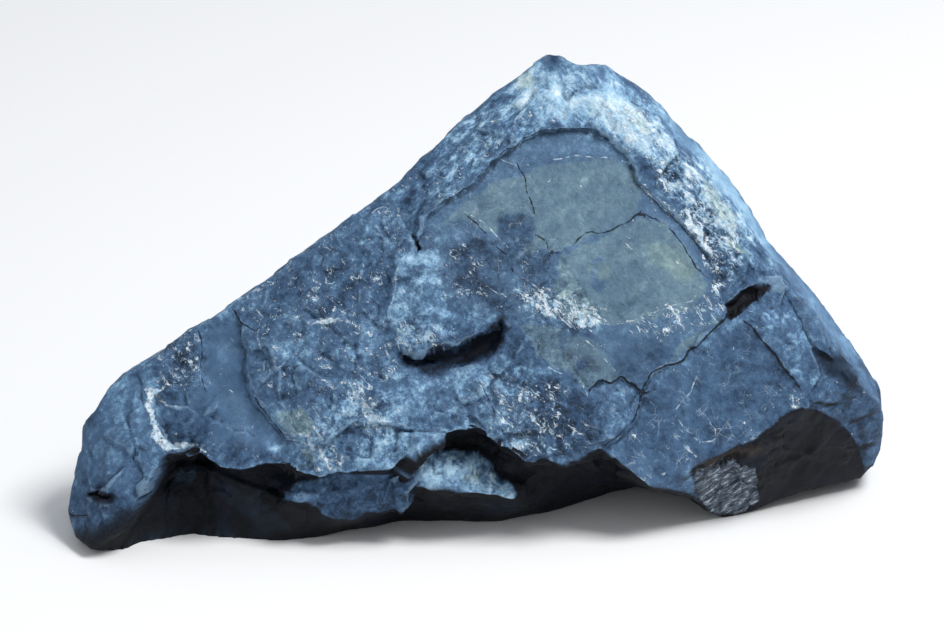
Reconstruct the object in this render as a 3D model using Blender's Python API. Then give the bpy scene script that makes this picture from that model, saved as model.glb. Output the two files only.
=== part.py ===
"""An aquascaping rock: one wedge of dark, blue-grey limestone that stands on its flat underside.

The rock grew and broke as one piece, so it is one solid. It is described as it looks from the front, square on
to its main broken face, which leans back by FACE_LEAN. In that face frame u runs right, v runs up the face and
w runs out of it, towards the viewer. The body is every point that lies behind a set of flat fracture faces,
inside the outline of the rock and above the ground. Ledges, cracks and pits are then sunk into it.

Places on the face were read from the photograph, as (across, down) or (across, down, depth): across and down are
in its 944 x 632 pixels and depth is w in millimetres. ROCK_LENGTH turns them into millimetres.
"""

import math

import bmesh
import bpy
import numpy as np

# Driving dimensions, in millimetres and degrees: the rock's length and how far its main face leans back
ROCK_LENGTH = 240.0
FACE_LEAN = 25.0

# How far the lowest point of the outline lies above the ground, how much is ground off the underside to make it
# flat, and how low a place must be to count as part of that flat base
GROUND_DROP = 1.5
BASE_TRIM = 1.2
BASE_FLAT = 0.35

# How round the edges between the flat faces are, the depth w at which the outline is widest, and the share by
# which the outline narrows over the distance BACK_REACH behind that
EDGE_ROUNDING = 0.55
RIM_DEPTH = -36.0
BACK_TAPER = 0.32
BACK_REACH = 95.0

# The photograph's own frame: the rock's left end, right end and lowest point
PHOTO_LEFT = 69.0
PHOTO_RIGHT = 884.0
PHOTO_LOW = 549.0

# Mesh: how many cells the starting block has along u, v and w, and how many triangles are left after thinning
BLOCK_CELLS = (188, 116, 78)
MOST_TRIANGLES = 9400

MM_PER_METRE = 1000.0
MM = ROCK_LENGTH / (PHOTO_RIGHT - PHOTO_LEFT)
LEAN = math.radians(FACE_LEAN)

# The middle of the rock, and the corners of the starting block round it, in millimetres from that point
CORE = (505.0, 340.0, -32.0)
BLOCK_LOW = (-130.0, -64.0, -62.0)
BLOCK_HIGH = (116.0, 88.0, 40.0)

# The spine that the block is stretched round: its share of the block's length, and how fast it sinks towards both
# ends and comes forward towards the left one, in millimetres along
SPINE_LENGTH = 0.78
SPINE_SINK = 0.20
SPINE_FORWARD = 0.15

OUTLINE = (
    (69, 510), (75, 480), (82, 450), (87, 420), (97, 409), (110, 390), (124, 375), (151, 360), (189, 330),
    (215, 316), (241, 300), (281, 270), (321, 240), (362, 210), (402, 180), (420, 161), (435, 150), (464, 120),
    (501, 90), (530, 68), (547, 58), (560, 57), (577, 66), (605, 66), (630, 80), (647, 92), (673, 121),
    (703, 150), (731, 180), (752, 210), (768, 240), (794, 270), (819, 300), (841, 330), (863, 360), (879, 390),
    (884, 420), (883, 450), (876, 467), (864, 480), (840, 484), (800, 493), (754, 510), (725, 520), (706, 512),
    (690, 498), (660, 490), (640, 487), (610, 494), (575, 507), (545, 515), (500, 522), (430, 522), (400, 521),
    (375, 527), (350, 529), (325, 536), (280, 540), (240, 538), (200, 540), (150, 544), (125, 549), (95, 546),
    (78, 535),
)

# Flat fracture faces that show from the front, each by three points on it
FRONT_FACES = {
    "plate": ((450, 220, 2.0), (640, 170, 0.0), (600, 380, 6.0)),
    "lower_block": ((610, 450, 4.0), (700, 340, 4.0), (800, 400, -3.0)),
    "left_field": ((430, 230, 2.5), (450, 440, 8.0), (120, 460, 3.0)),
    "cap": ((425, 225, 3.0), (545, 128, 2.0), (464, 122, -9.5)),
    "shoulder": ((600, 128, 2.0), (700, 255, 3.0), (720, 190, -7.0)),
    "flank": ((650, 105, -6.0), (778, 283, -5.0), (768, 240, -20.0)),
    "right_end": ((830, 415, -11.0), (868, 478, -38.0), (884, 420, -23.0)),
    "heel": ((690, 465, -0.3), (745, 440, -2.0), (720, 517, -19.5)),
    "nose_end": ((95, 410, -8.0), (80, 450, -9.5), (118, 440, 2.0)),
}

# Flat fracture faces behind, each by its outward direction and a point on it, in the rock's own millimetres
BACK_FACES = {
    "back": ((0.08, 0.985, 0.10), (40, 92, 12)),
    "back_left": ((-0.44, 0.89, 0.10), (-62, 62, 10)),
    "back_right": ((0.62, 0.76, 0.18), (94, 79, 22)),
    "top_back": ((0.02, 0.60, 0.80), (25, 77, 127)),
    "upper_back": ((-0.15, 0.93, 0.34), (20, 90, 84)),
    "slope_back": ((-0.58, 0.46, 0.67), (-60, 55, 72)),
    "right_back": ((0.78, 0.50, 0.38), (103, 66, 55)),
    "nose_back": ((-0.72, 0.66, 0.22), (-115, 38, 15)),
    "tail_chip": ((-0.20, 0.80, -0.57), (-30, 66, 4)),
    "heel_chip": ((0.45, 0.66, -0.60), (73, 83, 4)),
}

# The undercut below the front edge, as lines that run from left to right: the lip, the roof behind it, the top
# and bottom edges of the shelf below it, and the rim, which lies on the ground along the outline
LIP = (
    (60, 548, 4), (96, 544, 4), (108, 537, 4), (122, 528, 4), (135, 516, 4), (150, 486, 4), (169, 456, 4),
    (187, 451, 4), (199, 452, 4), (209, 461, 4), (224, 469, 4), (244, 471, 5), (265, 466, 5), (285, 464, 5),
    (302, 474, 5), (325, 478, 6), (345, 474, 6), (365, 472, 6), (395, 469, 6), (402, 459, 6), (412, 452, 6),
    (433, 441, 6), (454, 432, 6), (479, 431, 6), (495, 446, 7), (517, 455, 7), (523, 466, 7), (543, 464, 7),
    (561, 461, 7), (579, 455, 7), (600, 448, 4), (620, 464, 4), (641, 481, 3), (655, 490, 2), (700, 520, 0),
)
ROOF = (
    (60, 549, 3), (96, 546, 2), (125, 532, 0), (137, 519, -3), (152, 490, -7), (169, 461, -11), (200, 456, -13),
    (215, 467, -7), (244, 476, -3), (285, 468, -4), (310, 478, -1), (335, 481, 2), (365, 476, 1), (395, 474, 0),
    (412, 458, -3), (435, 447, -6), (465, 439, -8), (490, 448, -8), (517, 462, -7), (545, 469, -5),
    (579, 460, -5), (600, 453, -6), (641, 484, -8), (700, 521, -8),
)
SHELF_TOP = (
    (60, 549, 2), (96, 547, 1), (125, 539, -2), (150, 506, -8), (163, 484, -9), (198, 470, -8), (202, 486, -12),
    (244, 500, -7),
    (279, 490, -3), (305, 481, 3), (333, 485, 4), (365, 482, 3), (395, 478, 2), (412, 464, 2), (435, 453, 1),
    (465, 450, 1), (483, 461, -1), (510, 486, -3), (545, 484, -11), (600, 470, -17), (641, 485, -22),
    (700, 522, -20),
)
SHELF_EDGE = (
    (60, 549, 0), (96, 548, 0), (125, 546, -3), (150, 528, -9), (200, 515, -14), (244, 524, -11), (279, 497, -1),
    (295, 503, 2), (311, 503, 2), (335, 516, 0), (355, 520, -2), (380, 505, -1), (398, 495, 0), (420, 482, 2),
    (440, 487, 2), (465, 490, 2), (490, 494, 1), (515, 499, -3), (545, 500, -18), (600, 486, -26),
    (641, 486, -32), (700, 522, -21),
)

# Steps in the face: the line of the step, how far the ground to its right drops, and how soon that is made up,
# both in millimetres, and how wide the step's own slope is
STEP_WIDTH = 1.5
STEPS = {
    "cap_edge": (
        ((410, 262), (413, 240), (425, 218), (445, 200), (470, 184), (497, 160), (520, 139), (540, 131),
         (560, 128), (588, 131), (610, 137), (628, 152), (640, 182), (662, 205), (690, 232), (712, 262),
         (722, 290)),
        2.8, 16.0,
    ),
    "plate_edge": (
        ((724, 316), (712, 327), (702, 335), (690, 347), (680, 358), (662, 362), (652, 372), (641, 392),
         (632, 384), (623, 377), (611, 383), (600, 382), (589, 390)),
        -2.0, 14.0,
    ),
    "block_line": (((742, 318), (757, 335), (772, 354), (786, 372), (801, 390)), 1.3, 10.0),
    "flank_edge": (((778, 286), (800, 318), (819, 352), (832, 360), (845, 373), (868, 388)), 2.6, 7.0),
    "chute_left": (((209, 392), (203, 371), (201, 334)), 1.6, 9.0),
    "chute_right": (((245, 298), (246, 350), (255, 398), (268, 412), (286, 435)), 2.4, 10.0),
    "field_foot": (((286, 435), (311, 437), (318, 470)), 2.2, 8.0),
    "small_ledge": (((492, 437), (506, 432), (528, 430), (541, 428)), 2.6, 4.0),
    "vein_bowl": (((156, 392), (160, 420), (168, 440), (180, 450), (200, 455)), -2.4, 10.0),
    "block_corner": (((641, 394), (636, 410), (622, 428), (600, 449)), -1.6, 5.0),
}

# Sunken places: their outline, how deep they are and how wide their sloping edge is, both in millimetres
PITS = {
    "notch": (
        ((396, 350), (411, 353), (420, 357), (433, 348), (447, 344), (458, 344), (468, 337), (483, 330),
         (497, 321), (506, 317), (503, 338), (500, 352), (488, 360), (465, 366), (450, 371), (436, 373),
         (418, 368), (406, 363)),
        8.0, 2.4,
    ),
    "right_gap": (
        ((724, 303), (741, 290), (759, 281), (779, 283), (770, 292), (750, 303), (738, 312), (727, 322)),
        5.0, 1.4,
    ),
    "nose_hole": (((88, 491), (104, 487), (121, 492), (115, 503), (99, 504)), 3.5, 1.8),
    "edge_pit": (((407, 230), (413, 229), (423, 252), (417, 256), (411, 246)), 3.0, 1.4),
}

# Soft ridges, and troughs where the height is below 0: their line, height and half width, both in millimetres
RIDGES = {
    "bright_lump": (((428, 285), (432, 335)), 2.6, 8.0),
    "column_rib": (((398, 262), (392, 300), (398, 345)), 1.2, 2.6),
    "fan_rib": (((470, 365), (492, 405), (515, 455)), 1.6, 3.0),
    "fan_trough": (((440, 385), (452, 425)), -1.4, 5.0),
    "chute": (((222, 322), (226, 370), (250, 420), (300, 458)), -2.4, 8.0),
    "vein_hollow": (((205, 395), (186, 430)), -3.2, 7.0),
    "nose_rib": (((152, 362), (140, 402), (128, 440)), 1.6, 5.0),
    "nose_dip": (((108, 420), (118, 455)), -1.4, 5.0),
    "field_dome": (((338, 335), (322, 405)), 2.4, 11.0),
    "field_trough": (((384, 290), (372, 360), (362, 430)), -1.8, 5.0),
    "slope_rib": (((262, 292), (300, 282), (352, 240)), 1.4, 5.0),
    "slope_dip": (((330, 275), (380, 235)), -1.6, 6.0),
    "strip_rib": (((430, 195), (500, 130), (548, 92)), 1.2, 5.0),
    "shoulder_rib": (((640, 120), (700, 200), (735, 262)), 1.3, 4.0),
    "shoulder_dip": (((668, 190), (712, 262), (728, 300)), -1.6, 3.5),
    "foot_rib": (((330, 445), (395, 462)), 1.4, 5.0),
}

# Layers of angular chipping: the size of a chip, how far it tilts the surface, and where its pattern starts; and
# how wide the slope from chip to chip is
CHIPS = ((46.0, 0.12, 11), (21.0, 0.17, 23), (9.0, 0.20, 37))
CHIP_SLOPE = 0.4

# The front faces that broke smooth, and the share of the chipping that is kept on them, on the rest of the front,
# on the underside and along the outline
SMOOTH_FACES = (
    ((415, 245), (445, 208), (500, 165), (560, 135), (610, 142), (650, 195), (705, 262), (718, 300), (690, 340),
     (640, 385), (600, 380), (545, 340), (470, 300)),
    ((610, 450), (645, 398), (700, 345), (742, 318), (795, 388), (745, 435), (655, 478)),
    ((200, 335), (240, 325), (255, 400), (300, 440), (260, 440), (212, 395)),
)
SMOOTH_CALM = 0.12
FRONT_CALM = 0.62
BASE_CALM = 0.3
RIM_CALM = 0.3
RIM_WIDTH = 9.0


def face_mm(points):
    """Photograph places as face-frame millimetres, one row each."""
    rows = np.array(points, float)
    rows[:, 0] = (rows[:, 0] - (PHOTO_LEFT + PHOTO_RIGHT) / 2) * MM
    rows[:, 1] = (PHOTO_LOW - rows[:, 1]) * MM
    return rows


def to_rock(uvw):
    """Face-frame points, or directions, turned into the rock's upright frame."""
    u, v, w = np.moveaxis(np.asarray(uvw, float), -1, 0)
    sin, cos = math.sin(LEAN), math.cos(LEAN)
    return np.stack([u, v * sin - w * cos, v * cos + w * sin], axis=-1)


def to_face(xyz):
    """Points, or directions, in the rock's upright frame turned into the face frame."""
    x, y, z = np.moveaxis(np.asarray(xyz, float), -1, 0)
    sin, cos = math.sin(LEAN), math.cos(LEAN)
    return np.stack([x, y * sin + z * cos, z * sin - y * cos], axis=-1)


def smooth(x):
    """A smooth rise from 0 at x = 0 to 1 at x = 1."""
    t = np.clip(x, 0.0, 1.0)
    return t * t * (3.0 - 2.0 * t)


def scatter(cells, seed):
    """A repeatable number from 0 to 1 for each whole-numbered cell."""
    n = cells[..., 0] * 73856093 ^ cells[..., 1] * 19349663 ^ cells[..., 2] * 83492791 ^ seed * 2654435761
    n = (n ^ n >> 13) * 1274126177 & 0x7FFFFFFF
    n = (n ^ n >> 11) * 668265263 & 0x7FFFFFFF
    return (n ^ n >> 15) / float(0x7FFFFFFF)


def swell(points, size, seed):
    """Smooth noise from -1 to 1 whose lumps are about size across."""
    scaled = points / size
    low = np.floor(scaled).astype(np.int64)
    part = smooth(scaled - low)
    total = np.zeros(len(points))
    for corner in np.ndindex(2, 2, 2):
        weight = np.prod(np.where(corner, part, 1.0 - part), axis=-1)
        total += weight * scatter(low + corner, seed)
    return 2.0 * total - 1.0


def chipped(points, size, tilt, seed):
    """Heights of flat, tilted chips that meet in short slopes: each has its own middle, tilt and level."""
    scaled = points / size
    low = np.floor(scaled).astype(np.int64)
    blend = CHIP_SLOPE / size
    total = np.zeros(len(points))
    weights = np.full(len(points), 1e-300)
    for offset in np.ndindex(3, 3, 3):
        cell = low + np.array(offset) - 1
        middle = cell + np.stack([scatter(cell, seed + axis) for axis in range(3)], axis=-1)
        away = scaled - middle
        slope = np.stack([scatter(cell, seed + 3 + axis) for axis in range(3)], axis=-1) - 0.5
        level = 2.0 * (away * slope).sum(-1) + 0.6 * (scatter(cell, seed + 6) - 0.5)
        weight = np.exp(-(away ** 2).sum(-1) / blend)
        total += weight * level
        weights += weight
    return total / weights * size * tilt


def from_line(points, line):
    """Distance from each point to an open line, and on which side of it the point lies: 1 on its right."""
    start, end = line[:-1, :2], line[1:, :2]
    along = end - start
    best = np.full(len(points), np.inf)
    side = np.zeros(len(points))
    for a, d in zip(start, along):
        rel = points - a
        share = np.clip(rel @ d / (d @ d), 0.0, 1.0)
        gap = np.hypot(*(rel - share[:, None] * d).T)
        turn = np.where(d[0] * rel[:, 1] - d[1] * rel[:, 0] < 0.0, 1.0, -1.0)
        closer = gap < best
        side = np.where(closer, turn, side)
        best = np.where(closer, gap, best)
    return best, side


def inside(points, outline):
    """Distance to a closed outline, above 0 inside it and below 0 outside."""
    ring = np.vstack([outline, outline[:1]])
    gap, _ = from_line(points, ring)
    crossings = np.zeros(len(points), int)
    for (ax, ay), (bx, by) in zip(ring[:-1, :2], ring[1:, :2]):
        spans = (ay > points[:, 1]) != (by > points[:, 1])
        rise = by - ay if by != ay else 1.0
        crossings += spans & (points[:, 0] < ax + (points[:, 1] - ay) * (bx - ax) / rise)
    return np.where(crossings % 2 == 1, gap, -gap)


def fracture_planes():
    """Each flat face as its outward direction in the face frame and how far out along it the face lies."""
    normals, reaches = [], []
    for corners in FRONT_FACES.values():
        a, b, c = face_mm(corners)
        normal = np.cross(b - a, c - a)
        normal *= np.sign(normal[2]) / np.linalg.norm(normal)
        normals.append(normal)
        reaches.append(normal @ a)
    for outward, place in BACK_FACES.values():
        normal = to_face(outward)
        normal = normal / np.linalg.norm(normal)
        normals.append(normal)
        reaches.append(normal @ to_face(place))
    normals.append(to_face((0.0, 0.0, -1.0)))
    reaches.append(GROUND_DROP + BASE_TRIM)
    return np.array(normals), np.array(reaches)


def outline_reach(starts, rays):
    """How many times its length each ray runs before it leaves the outline, which narrows towards the back."""
    ring = face_mm(OUTLINE)
    reach = np.full(len(rays), 1e3)
    for a, b in zip(ring, np.roll(ring, -1, axis=0)):
        edge = b - a
        gap = a - starts[:, :2]
        turn = rays[:, 0] * edge[1] - rays[:, 1] * edge[0]
        turn = np.where(np.abs(turn) < 1e-9, 1e-9, turn)
        run = (gap[:, 0] * edge[1] - gap[:, 1] * edge[0]) / turn
        share = (gap[:, 0] * rays[:, 1] - gap[:, 1] * rays[:, 0]) / turn
        meets = (run > 0) & (share >= -1e-9) & (share <= 1 + 1e-9)
        reach = np.where(meets, np.minimum(run, reach), reach)
    run = reach
    for _ in range(6):
        behind = np.clip((RIM_DEPTH - starts[:, 2] - run * rays[:, 2]) / BACK_REACH, 0.0, 1.0)
        run = reach * (1.0 - BACK_TAPER * behind ** 1.5)
    return run


def undercut_depth(points):
    """The greatest depth w that the undercut leaves at each face-frame place, or infinity above the lip."""
    u, v = points[:, 0], points[:, 1]
    rim = face_mm(OUTLINE[OUTLINE.index((725, 520)):] + OUTLINE[:1])[::-1]
    levels = []
    for line in (LIP, ROOF, SHELF_TOP, SHELF_EDGE):
        row = face_mm(line)
        levels.append((np.interp(u, row[:, 0], row[:, 1]), np.interp(u, row[:, 0], row[:, 2])))
    rim_v = np.interp(u, rim[:, 0], rim[:, 1])
    levels.append((rim_v, (-GROUND_DROP - rim_v * math.cos(LEAN)) / math.sin(LEAN)))
    depth = np.full(len(points), levels[-1][1])
    for (high_v, high_w), (low_v, low_w) in reversed(list(zip(levels[:-1], levels[1:]))):
        share = np.clip((high_v - v) / np.maximum(high_v - low_v, 0.05), 0.0, 1.0)
        between = high_w + (low_w - high_w) * share
        depth = np.where(v > low_v, between, depth)
    right_end = face_mm(LIP)[-1, 0]
    return np.where((v > levels[0][0]) | (u > right_end), np.inf, depth)


def spine_points(block):
    """The place on the rock's spine that belongs to each point of the starting block."""
    along = SPINE_LENGTH * block[:, 0]
    sink = SPINE_SINK * (np.sqrt(along ** 2 + 400.0) - 20.0)
    return np.stack([along, -sink, SPINE_FORWARD * np.maximum(-along, 0.0)], axis=-1)


def body_points(block):
    """Where each ray from the spine leaves the body: the nearest of the flat faces, the outline and the undercut."""
    normals, reaches = fracture_planes()
    core = face_mm([CORE])[0]
    starts = spine_points(block) + core
    rays = block + core - starts
    length = np.linalg.norm(rays, axis=1)
    toward = rays @ normals.T
    runs = np.where(toward > 1e-6, (reaches - starts @ normals.T) / np.maximum(toward, 1e-6), 1e3)
    runs = np.column_stack([runs, outline_reach(starts, rays)])
    runs = np.minimum(runs, 6.0) * length[:, None]
    nearest = runs.min(axis=1)
    run = nearest - EDGE_ROUNDING * np.log(np.exp((nearest[:, None] - runs) / EDGE_ROUNDING).sum(axis=1))
    heading = rays / length[:, None]
    clear = np.full(len(rays), 0.0)
    stop = run.copy()
    found = np.zeros(len(rays), bool)
    for share in np.linspace(0.3, 1.0, 71):
        place = starts + heading * (run * share)[:, None]
        out = place[:, 2] > undercut_depth(place)
        stop = np.where(out & ~found, run * share, stop)
        found |= out
        clear = np.where(found, clear, run * share)
    for _ in range(10):
        middle = (clear + stop) / 2
        place = starts + heading * middle[:, None]
        out = found & (place[:, 2] > undercut_depth(place))
        stop = np.where(out, middle, stop)
        clear = np.where(out, clear, middle)
    return starts + heading * np.where(found, (clear + stop) / 2, run)[:, None]


def face_relief(points):
    """How far the steps, ridges and pits raise the surface along w at each face-frame place."""
    ragged = points[:, :2].copy()
    for axis in range(2):
        ragged[:, axis] += 0.8 * swell(points, 7.0, 50 + axis) + 0.35 * swell(points, 2.6, 60 + axis)
    relief = np.zeros(len(points))
    for line, drop, reach in STEPS.values():
        gap, side = from_line(ragged, face_mm(line))
        low = side * np.sign(drop) > 0
        relief -= np.where(low, abs(drop) * smooth(gap / STEP_WIDTH) * np.exp(-gap / reach), 0.0)
    for line, height, width in RIDGES.values():
        gap, _ = from_line(ragged, face_mm(line))
        relief += height * np.exp(-(gap / width) ** 2)
    for outline, depth, edge in PITS.values():
        relief -= depth * smooth(inside(ragged, face_mm(outline)) / edge)
    return relief


def chip_relief(points, normals):
    """How far the angular chips raise the surface: less on the smooth front faces than elsewhere."""
    ragged = points + 1.6 * np.stack([swell(points, 9.0, 70 + axis) for axis in range(3)], axis=-1)
    relief = sum(chipped(ragged, size, tilt, seed) for size, tilt, seed in CHIPS)
    share = np.full(len(points), FRONT_CALM)
    for outline in SMOOTH_FACES:
        share += (SMOOTH_CALM - FRONT_CALM) * smooth(inside(points[:, :2], face_mm(outline)) / 4.0 + 0.5)
    facing = smooth((normals[:, 2] - 0.2) / 0.5)
    relief *= 1.0 - (1.0 - share) * facing
    down = normals[:, 1] * math.cos(LEAN) + normals[:, 2] * math.sin(LEAN)
    relief *= 1.0 - (1.0 - BASE_CALM) * smooth((-down - 0.6) / 0.3)
    within = smooth(inside(points[:, :2], face_mm(OUTLINE)) / RIM_WIDTH)
    relief *= RIM_CALM + (1.0 - RIM_CALM) * within
    relief += 0.5 * swell(points, 14.0, 80) + 0.25 * swell(points, 5.0, 81)
    return relief


def read_vectors(items, name):
    """One vector of each mesh item, as rows."""
    flat = np.empty(len(items) * 3, np.float32)
    items.foreach_get(name, flat)
    return flat.reshape(-1, 3).astype(float)


def place_points(mesh, points):
    """Puts the mesh's vertices at these points."""
    mesh.vertices.foreach_set("co", points.astype(np.float32).ravel())
    mesh.update()


def starting_block():
    """A cube whose sides are cut into the cells that the block has."""
    mesh = bpy.data.meshes.new("rock")
    form = bmesh.new()
    bmesh.ops.create_cube(form, size=1.0)
    for axis, cells in enumerate(BLOCK_CELLS):
        along = [edge for edge in form.edges if abs((edge.verts[0].co - edge.verts[1].co)[axis]) > 0.5]
        bmesh.ops.subdivide_edges(form, edges=along, cuts=cells - 1, use_grid_fill=True)
    form.to_mesh(mesh)
    form.free()
    return mesh


def shape_rock(mesh):
    """Turns the cut cube into the rock, in the upright frame and in millimetres."""
    share = read_vectors(mesh.vertices, "co") + 0.5
    body = body_points(BLOCK_LOW + share * np.subtract(BLOCK_HIGH, BLOCK_LOW))
    place_points(mesh, to_rock(body))
    normals = to_face(read_vectors(mesh.vertex_normals, "vector"))
    body[:, 2] += face_relief(body) * smooth((normals[:, 2] - 0.03) / 0.22)
    place_points(mesh, to_rock(body))
    normals = to_face(read_vectors(mesh.vertex_normals, "vector"))
    body += normals * chip_relief(body, normals)[:, None]
    rock = to_rock(body)
    rock[:, 2] = np.maximum(rock[:, 2] + GROUND_DROP, 0.0)
    place_points(mesh, rock)


def thinned(mesh):
    """A copy of the mesh with its flat stretches joined into larger triangles."""
    thick = bpy.data.objects.new("thick", mesh)
    bpy.context.scene.collection.objects.link(thick)
    thin = thick.modifiers.new("thin", "DECIMATE")
    thin.ratio = MOST_TRIANGLES / (2 * len(mesh.polygons))
    thin.use_collapse_triangulate = True
    result = bpy.data.meshes.new_from_object(thick.evaluated_get(bpy.context.evaluated_depsgraph_get()))
    bpy.data.objects.remove(thick)
    return result


def settle(mesh):
    """Makes the base flat, puts the origin below the middle of the rock and turns millimetres into metres."""
    rock = read_vectors(mesh.vertices, "co")
    rock[:, 2] = np.where(rock[:, 2] < BASE_FLAT, 0.0, rock[:, 2])
    low, high = rock.min(axis=0), rock.max(axis=0)
    rock[:, :2] -= (low[:2] + high[:2]) / 2
    place_points(mesh, rock / MM_PER_METRE)


def stone_material():
    """Dark, dull blue-grey limestone."""
    material = bpy.data.materials.new("blue_grey_limestone")
    material.use_nodes = True
    shader = material.node_tree.nodes["Principled BSDF"]
    shader.inputs["Base Color"].default_value = (0.085, 0.130, 0.190, 1.0)
    shader.inputs["Roughness"].default_value = 0.72
    shader.inputs["Metallic"].default_value = 0.0
    return material


def build_rock():
    """The rock as one object, in a collection of its own."""
    block = starting_block()
    shape_rock(block)
    mesh = thinned(block)
    settle(mesh)
    mesh.materials.append(stone_material())
    collection = bpy.data.collections.new("aquascaping_rock")
    bpy.context.scene.collection.children.link(collection)
    collection.objects.link(bpy.data.objects.new("rock", mesh))


for old in list(bpy.data.objects):
    bpy.data.objects.remove(old)
build_rock()
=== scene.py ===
"""Looks of an aquascaping rock: one leaning wedge of dark blue-grey limestone.

The form follows the same rules as the solid that it stands for, at a finer pitch. It is described square on
to its main broken face: u runs right, v runs up that face and w runs out of it, all in millimetres. Places
on the face were read from the photograph, as (across, down) or (across, down, depth): across and down are in
its 944 x 632 pixels and depth is w in millimetres.
"""

from __future__ import annotations

import logging
import math
from dataclasses import dataclass, field
from enum import Enum

import bpy
import numpy as np
from mathutils import Matrix, Vector


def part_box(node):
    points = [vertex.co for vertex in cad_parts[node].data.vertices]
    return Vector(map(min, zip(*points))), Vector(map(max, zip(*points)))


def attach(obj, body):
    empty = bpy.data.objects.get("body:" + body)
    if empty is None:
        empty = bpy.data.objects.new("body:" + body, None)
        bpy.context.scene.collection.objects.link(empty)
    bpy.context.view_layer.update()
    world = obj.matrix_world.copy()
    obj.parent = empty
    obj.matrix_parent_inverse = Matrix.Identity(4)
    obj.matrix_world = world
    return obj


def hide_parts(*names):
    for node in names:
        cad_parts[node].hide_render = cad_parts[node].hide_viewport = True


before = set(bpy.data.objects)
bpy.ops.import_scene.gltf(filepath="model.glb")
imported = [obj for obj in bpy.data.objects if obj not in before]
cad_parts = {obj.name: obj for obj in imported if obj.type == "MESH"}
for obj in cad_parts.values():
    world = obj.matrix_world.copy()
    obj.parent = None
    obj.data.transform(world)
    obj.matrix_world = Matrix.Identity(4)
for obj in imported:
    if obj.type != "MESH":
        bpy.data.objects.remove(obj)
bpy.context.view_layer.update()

log = logging.getLogger("aquascaping_rock")

Place = tuple[float, ...]
Line = tuple[Place, ...]
Colour = tuple[float, float, float]
Stops = tuple[tuple[float, Colour], ...]
Socket = bpy.types.NodeSocket

MM_PER_METRE = 1000.0
LIGHT_ON_FACE = (1.20, 1.10, 1.02)


class Ground(Enum):
    """The attributes that tell the stone's material where it is on the rock."""

    PLATE = "plate_mm"
    OLIVE = "olive_mm"
    OCHRE = "ochre_mm"
    SILVER = "silver_mm"
    RUST = "rust_mm"
    TONE = "tone"
    GRIT = "grit"
    STREAK = "streak"
    # Painted shade, near black: the undercut foot, places that face down, gaps and the shadows beside ledges.
    PAINTED_SHADE = "gloom"
    FLECKS = "flecks"
    WEB = "scratch_web"
    VEIN = "vein_mm"
    HAIR_SIDE = "hair_side_mm"
    HAIR_NEAR = "hair_near_mm"
    CRACK_SIDE = "crack_side_mm"
    CRACK_NEAR = "crack_near_mm"
    LEDGE_SHADOW = "gash"
    # How far each place stands out or is sunk: worn edges with a painted highlight, and painted shade in
    # hollows.
    STANDOUT = "edge_wear"
    SKY = "sky_facing"
    FRONT = "front_facing"


def smooth(x: np.ndarray) -> np.ndarray:
    """A smooth rise, 3t² - 2t³, from 0 at x = 0 to 1 at x = 1."""
    t = np.clip(x, 0.0, 1.0)
    return t * t * (3.0 - 2.0 * t)


def scatter(cells: np.ndarray, seed: int) -> np.ndarray:
    """A repeatable number for each cell, made by mixing the bits of its whole numbers.

    Args:
        cells: three whole numbers for each cell.
        seed: which of many such patterns.

    Returns:
        A number from 0 to 1 for each cell.
    """
    n = cells[..., 0] * 73856093 ^ cells[..., 1] * 19349663 ^ cells[..., 2] * 83492791 ^ seed * 2654435761
    n = (n ^ n >> 13) * 1274126177 & 0x7FFFFFFF
    n = (n ^ n >> 11) * 668265263 & 0x7FFFFFFF
    return (n ^ n >> 15) / float(0x7FFFFFFF)


def swell(points: np.ndarray, size: float, seed: int) -> np.ndarray:
    """Smooth noise: a random value at each corner of a lattice, blended between corners by 3t² - 2t³.

    Args:
        points: places, in millimetres.
        size: the lattice's pitch.
        seed: which of many such patterns.

    Returns:
        A number from -1 to 1 for each place.
    """
    scaled = points / size
    low = np.floor(scaled).astype(np.int64)
    part = smooth(scaled - low)
    total = np.zeros(len(points))
    for corner in np.ndindex(2, 2, 2):
        weight = np.prod(np.where(corner, part, 1.0 - part), axis=-1)
        total += weight * scatter(low + corner, seed)
    return 2.0 * total - 1.0


def near(points: np.ndarray, line: np.ndarray, reach: float) -> np.ndarray:
    """Whether each point lies in a line's box, grown by reach."""
    low, high = line[:, :2].min(axis=0) - reach, line[:, :2].max(axis=0) + reach
    return ((points[:, :2] > low) & (points[:, :2] < high)).all(axis=1)


def from_line(points: np.ndarray, line: np.ndarray, reach: float,
              ) -> tuple[np.ndarray, np.ndarray, np.ndarray]:
    """How far points are from an open line, worked out only in its box grown by reach.

    Args:
        points: places as (u, v) rows.
        line: the line's places.
        reach: the distance given to places beyond the box.

    Returns:
        The distances, the side that each point lies on (1 on the line's right, -1 on its left), and how far
        along the line its nearest place is.
    """
    gaps = np.full(len(points), reach)
    sides = np.ones(len(points))
    runs = np.zeros(len(points))
    chosen = near(points, line, reach)
    spots = points[chosen, :2]
    best = np.full(len(spots), np.inf)
    side = np.ones(len(spots))
    along = np.zeros(len(spots))
    passed = 0.0
    for a, d in zip(line[:-1, :2], line[1:, :2] - line[:-1, :2]):
        rel = spots - a
        share = np.clip(rel @ d / (d @ d), 0.0, 1.0)
        gap = np.hypot(rel[:, 0] - share * d[0], rel[:, 1] - share * d[1])
        turn = np.where(d[0] * rel[:, 1] - d[1] * rel[:, 0] < 0.0, 1.0, -1.0)
        closer = gap < best
        side = np.where(closer, turn, side)
        along = np.where(closer, passed + share * np.hypot(*d), along)
        best = np.where(closer, gap, best)
        passed += np.hypot(*d)
    gaps[chosen] = np.minimum(best, reach)
    sides[chosen] = side
    runs[chosen] = along
    return gaps, sides, runs


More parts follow.
